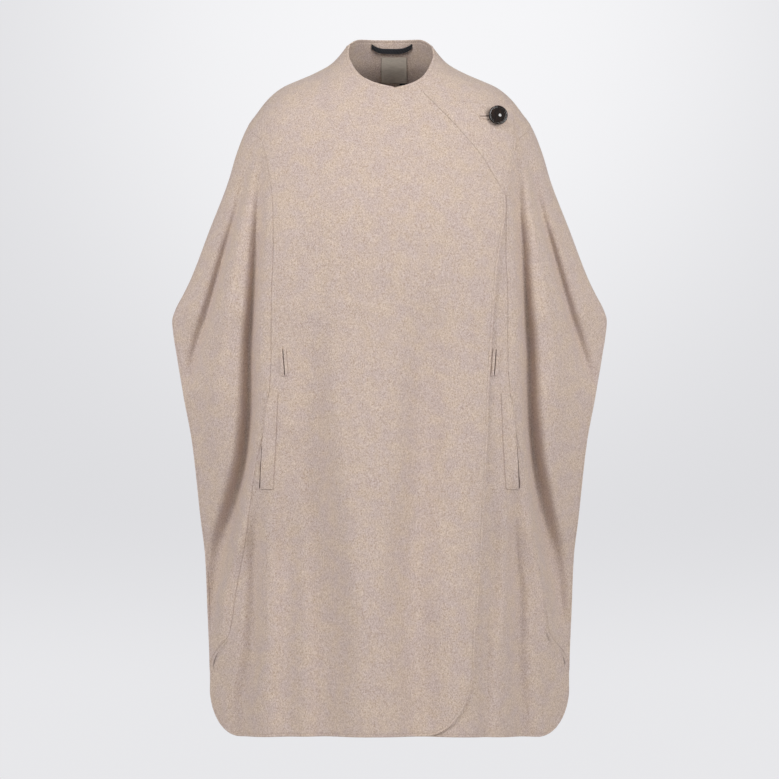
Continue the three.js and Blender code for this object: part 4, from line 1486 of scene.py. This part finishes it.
def button_place():
    """The point of the flap under the button, and the direction that the button faces."""
    z = np.array([BUTTON_Z])
    theta = angle_at(np.array([BUTTON_X]), z)

    def surface(t, h):
        return layer_point("front", t, h, np.full_like(h, CAD_FLAP_LIFT))

    normal = normal_of(surface, "front", theta, z)[0]
    facing = np.array([0, -1, 0]) * (1 - BUTTON_TILT) + normal * BUTTON_TILT
    return surface(theta, z)[0], facing / np.linalg.norm(facing)


LABEL_AIR, LOOP_AIR = 0.6 * MM, 0.5 * MM  # air between the collar and a label or the loop
LABEL_THICK = 0.5 * MM


class CAPE_OT_neck_trims(bpy.types.Operator):
    """Make the hanging loop, the bare label and the size tab"""

    bl_idname = "cape.neck_trims"
    bl_label = "Loop and labels"

    def execute(self, context):
        inside = -cloth().thickness
        for name, node, material, slot, (left, right, top, bottom) in (
            ("bare_label", "neck_label", woven_satin(), "label", (-0.014, 0.030, 0.057, 0.015)),
            ("size_tab_tape", "size_tab", twill_tape(), "tape", (0.017, 0.033, 0.0145, 0.003)),
        ):
            tab = strip(straight_down(left, right), top, bottom, LABEL_THICK,
                        base=inside - LABEL_AIR - LABEL_THICK, face="back", step=2 * MM)
            piece = add_cut(name, tab, node, material)
            declare_sheet(tab)
        left, right, top, drop, width, thick, bow = (
            -0.032, 0.040, 0.079, 0.007, 0.008, 1.2 * MM, 0.006)
        middle, reach = (left + right) / 2, (right - left) / 2

        def sag(theta, z):
            return 1 - ((section["half"](z) * np.sin(theta) - middle) / reach) ** 4

        def height(cut):
            z = np.full(len(cut.interval), top)
            return top - drop * sag(cut.angle(z), z)

        edge = Edge(0.5 * thick, rows=STRIP_ROWS)
        loop = Cut("back", straight_down(left, right), height, lambda cut: height(cut) - width,
                   (edge,) * 4, lambda t, z: inside - LOOP_AIR - bow * sag(t, z), thick, 2 * MM)
        add_cut("hanger_tape", loop, "hanger_loop", twill_tape())
        return {"FINISHED"}


def stitch_tree():
    """A tree that lays stitches along lines whose points carry the outward direction."""
    tree = bpy.data.node_groups.new("stitches", "GeometryNodeTree")
    for name, kind in (("Lines", "Geometry"), ("Pitch", "Float"), ("Length", "Float"),
                       ("Thread", "Float"), ("Seed", "Int"), ("Material", "Material")):
        tree.interface.new_socket(name, in_out="INPUT", socket_type=f"NodeSocket{kind}")
    tree.interface.new_socket("Stitches", in_out="OUTPUT", socket_type="NodeSocketGeometry")
    given = add_node(tree, "NodeGroupInput").outputs
    lines = add_node(tree, "GeometryNodeMeshToCurve", links={"Mesh": given["Lines"]})
    spaced = add_node(tree, "GeometryNodeResampleCurve", mode="LENGTH",
                      links={"Curve": lines.outputs["Curve"], "Length": given["Pitch"]})
    tangent = add_node(tree, "GeometryNodeInputTangent")
    facing = add_node(tree, "GeometryNodeInputNamedAttribute", data_type="FLOAT_VECTOR",
                      inputs={"Name": "facing"})
    along = add_node(tree, "FunctionNodeAlignRotationToVector", axis="X",
                     links={"Vector": tangent.outputs["Tangent"]})
    lying = add_node(tree, "FunctionNodeAlignRotationToVector", axis="Z", pivot_axis="X",
                     links={"Rotation": along.outputs["Rotation"],
                            "Vector": facing.outputs["Attribute"]})
    bead = add_node(tree, "GeometryNodeMeshUVSphere",
                    inputs={"Segments": 6, "Rings": 6, "Radius": 0.5})
    size = add_node(tree, "ShaderNodeCombineXYZ", links={
        "X": given["Length"], "Y": given["Thread"], "Z": given["Thread"]})
    one = add_node(tree, "GeometryNodeTransform", links={
        "Geometry": bead.outputs["Mesh"], "Scale": size.outputs["Vector"]})
    varied = add_node(tree, "FunctionNodeRandomValue", data_type="FLOAT_VECTOR",
                      links={"Seed": given["Seed"]},
                      inputs={0: (0.86, 0.9, 0.9), 1: (1.04, 1.1, 1.1)})
    laid = add_node(tree, "GeometryNodeInstanceOnPoints", links={
        "Points": spaced.outputs["Curve"], "Instance": one.outputs["Geometry"],
        "Rotation": lying.outputs["Rotation"], "Scale": varied.outputs[0]})
    real = add_node(tree, "GeometryNodeRealizeInstances",
                    links={"Geometry": laid.outputs["Instances"]})
    painted = add_node(tree, "GeometryNodeSetMaterial", links={
        "Geometry": real.outputs["Geometry"], "Material": given["Material"]})
    add_node(tree, "NodeGroupOutput", links={0: painted.outputs["Geometry"]})
    return tree


def run_tree(name, tree, mesh, values):
    """The plain mesh that a Geometry Nodes tree makes from a mesh."""
    holder = bpy.data.objects.new(name, mesh)
    bpy.context.scene.collection.objects.link(holder)
    modifier = holder.modifiers.new(name, "NODES")
    modifier.node_group = tree
    for item in tree.interface.items_tree:
        if item.in_out == "INPUT" and item.name in values:
            modifier[item.identifier] = values[item.name]
    bpy.context.view_layer.update()
    made = holder.evaluated_get(bpy.context.evaluated_depsgraph_get())
    result = bpy.data.meshes.new_from_object(made)
    holder.modifiers.clear()
    bpy.data.objects.remove(holder)
    result.name = name
    result.shade_smooth()
    return result


def line_mesh(name, lines):
    """Lines as one mesh of edges, with the outward direction at each point."""
    points, edges, facing = [], [], []
    for line, normals in lines:
        start = len(points)
        points += line.tolist()
        facing += normals.tolist()
        edges += [(start + k, start + k + 1) for k in range(len(line) - 1)]
    mesh = bpy.data.meshes.new(name)
    mesh.from_pydata(points, edges, [])
    mesh.attributes.new("facing", "FLOAT_VECTOR", "POINT")
    mesh.attributes["facing"].data.foreach_set("vector", np.array(facing, np.float32).ravel())
    return mesh


class CAPE_OT_topstitching(bpy.types.Operator):
    """Sew the topstitching along the edges of the panels"""

    bl_idname = "cape.topstitching"
    bl_label = "Topstitching"

    def execute(self, context):
        if not paths:
            raise RuntimeError("Make the panels first: the topstitching runs along their edges")
        lift = 0.12 * sewing().thread
        lines = [(points + normals * lift, normals) for points, normals in paths]
        mesh = run_tree("topstitching", stitch_tree(), line_mesh("stitch_lines", lines), {
            "Pitch": sewing().pitch, "Length": sewing().length, "Thread": sewing().thread,
            "Seed": sewing().seed, "Material": polyester_thread()})
        add_piece("topstitching", mesh, polyester_thread())
        return {"FINISHED"}


FLOOR_REACH, FLOOR_SIDES = 2.8, 96  # radius of the round floor, and its number of sides
SENSOR = 36  # width of the camera's sensor in millimetres
AIM = Vector((0, 0, -0.35))  # where the lights point
GLOW_MIDDLE, GLOW_SIZE = (0.008, 0.082), 0.062  # GLOW_MIDDLE, GLOW_SIZE = (0.008, 0.082), 0.062 # the painted glow of light on the backdrop behind the collar, by direction
# Name, place, shape, size, share of the side lights' power, and whether it shows in gloss only
LIGHTS = (
    ("right_light", (-1.95, -1.76, 0.88), "RECTANGLE", (1.2, 1.8), 1.0, False),
    ("left_light", (1.95, -1.76, 0.88), "RECTANGLE", (1.2, 1.8), 1.0, False),
    ("lamp", (2.1, -3.0, 1.08), "ELLIPSE", (1.25, 1.25), 1.3, True),
)


class CAPE_OT_stage(bpy.types.Operator):
    """Make the floor, the light and the camera"""

    bl_idname = "cape.stage"
    bl_label = "Stage"

    def execute(self, context):
        scene = context.scene
        settings = scene.cape_stage
        scene.view_settings.view_transform = "Standard"
        scene.view_settings.look = "None"
        mesh = bpy.data.meshes.new("floor")
        turn = np.linspace(0, 2 * math.pi, FLOOR_SIDES, endpoint=False)
        rim = [(FLOOR_REACH * math.cos(t), FLOOR_REACH * math.sin(t), settings.floor)
               for t in turn]
        mesh.from_pydata(rim, [], [list(range(len(rim)))])
        floor = bpy.data.objects.new("floor", mesh)
        scene.collection.objects.link(floor)
        mesh.materials.append(new_material(
            "painted_floor", {"Base Color": rgba(colour("e6e6e8")), "Roughness": 0.8})[0])

        world = bpy.data.worlds.new("studio")
        world.use_nodes = True
        scene.world = world
        nodes = world.node_tree
        nodes.nodes.clear()
        light = add_node(nodes, "ShaderNodeBackground", inputs={
            "Color": rgba(colour("f4f5f8")), "Strength": settings.fill})
        seen = add_node(nodes, "ShaderNodeBackground", inputs={"Strength": 1.0}, links={
            "Color": backdrop(nodes, settings)})
        path = add_node(nodes, "ShaderNodeLightPath")
        either = add_node(nodes, "ShaderNodeMixShader", links={
            0: path.outputs["Is Camera Ray"], 1: light.outputs[0], 2: seen.outputs[0]})
        add_node(nodes, "ShaderNodeOutputWorld", links={"Surface": either.outputs[0]})

        for name, at, shape, size, share, gloss_only in LIGHTS:
            add_light(name, at, shape, size, settings.key * share, gloss_only)
        camera = bpy.data.objects.new("camera", bpy.data.cameras.new("camera"))
        scene.collection.objects.link(camera)
        camera.location = (0, -settings.distance, settings.eye)
        camera.rotation_euler = (math.pi / 2, 0, 0)
        camera.data.sensor_width = SENSOR
        camera.data.lens = SENSOR * settings.distance / settings.frame_height
        scene.camera = camera
        return {"FINISHED"}


def backdrop(tree, settings):
    """Colour of the backdrop by its direction, with painted light on it: a soft painted glow of
    light high behind the collar, and a paler foot painted as light falling on the foot of a curved
    paper backdrop."""
    toward = add_node(tree, "ShaderNodeTexCoord").outputs["Generated"]
    x, z = GLOW_MIDDLE
    around = add_node(tree, "ShaderNodeMapping", links={"Vector": toward}, inputs={
        "Location": (-x / GLOW_SIZE, 0, -z / GLOW_SIZE),
        "Scale": (1 / GLOW_SIZE, 0, 1 / GLOW_SIZE)})
    off = add_node(tree, "ShaderNodeVectorMath", operation="LENGTH",
                   links={0: around.outputs["Vector"]}).outputs["Value"]
    # Painted light: a pool of light painted on the backdrop behind the collar.
    glow = add_node(tree, "ShaderNodeMapRange", interpolation_type="SMOOTHERSTEP",
                    links={"Value": off}, inputs={"From Min": 0.0, "From Max": 2.3,
                                                  "To Min": 1.0, "To Max": 0.0})
    parts = add_node(tree, "ShaderNodeSeparateXYZ", links={"Vector": toward})
    # Painted light: the foot of the backdrop is painted paler, as where light falls on it.
    foot = add_node(tree, "ShaderNodeMapRange", interpolation_type="SMOOTHSTEP",
                    links={"Value": parts.outputs["Z"]}, inputs={
                        "From Min": -0.022, "From Max": -0.064, "To Min": 0.0, "To Max": 0.4})
    share = add_node(tree, "ShaderNodeMath", operation="ADD", use_clamp=True,
                     links={0: glow.outputs["Result"], 1: foot.outputs["Result"]})
    return mix_colour(tree, share.outputs[0], rgba(settings.backdrop), rgba(colour("f6f6f8")))


def add_light(name, at, shape, size, power, gloss_only):
    """A soft light that points at the cape. gloss_only: it shows in gloss and lights nothing."""
    data = bpy.data.lights.new(name, "AREA")
    data.shape, data.size, data.size_y, data.energy = shape, *size, power
    light = bpy.data.objects.new(name, data)
    bpy.context.scene.collection.objects.link(light)
    light.location = at
    light.rotation_euler = (AIM - Vector(at)).to_track_quat("-Z", "Y").to_euler()
    light.visible_glossy, light.visible_diffuse = gloss_only, not gloss_only


STEPS = (CAPE_OT_stage, CAPE_OT_fronts, CAPE_OT_sides, CAPE_OT_backs, CAPE_OT_pockets,
         CAPE_OT_belt_slits, CAPE_OT_button, CAPE_OT_neck_trims, CAPE_OT_topstitching)


class CAPE_PT_panel(bpy.types.Panel):
    """Lists the steps that make the cape"""

    bl_label = "Cape"
    bl_idname = "CAPE_PT_panel"
    bl_space_type = "VIEW_3D"
    bl_region_type = "UI"
    bl_category = "Cape"

    def draw(self, context):
        for group in GROUPS:
            settings = getattr(context.scene, group)
            box = self.layout.box()
            for name in settings.__annotations__:
                box.prop(settings, name)
        for step in STEPS:
            self.layout.operator(step.bl_idname)


GROUPS = {
    "cape_cloth": CapeCloth, "cape_sewing": CapeSewing, "cape_trim": CapeTrim,
    "cape_stage": CapeStage,
}
CLASSES = (*GROUPS.values(), *STEPS, CAPE_PT_panel)


def register():
    for item in CLASSES:
        bpy.utils.register_class(item)
    for name, group in GROUPS.items():
        setattr(bpy.types.Scene, name, PointerProperty(type=group))


def unregister():
    for name in GROUPS:
        delattr(bpy.types.Scene, name)
    for item in reversed(CLASSES):
        bpy.utils.unregister_class(item)


def main():
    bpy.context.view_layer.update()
    register()
    for step in STEPS:
        group, name = step.bl_idname.split(".")
        getattr(getattr(bpy.ops, group), name)()


if __name__ == "__main__":
    main()
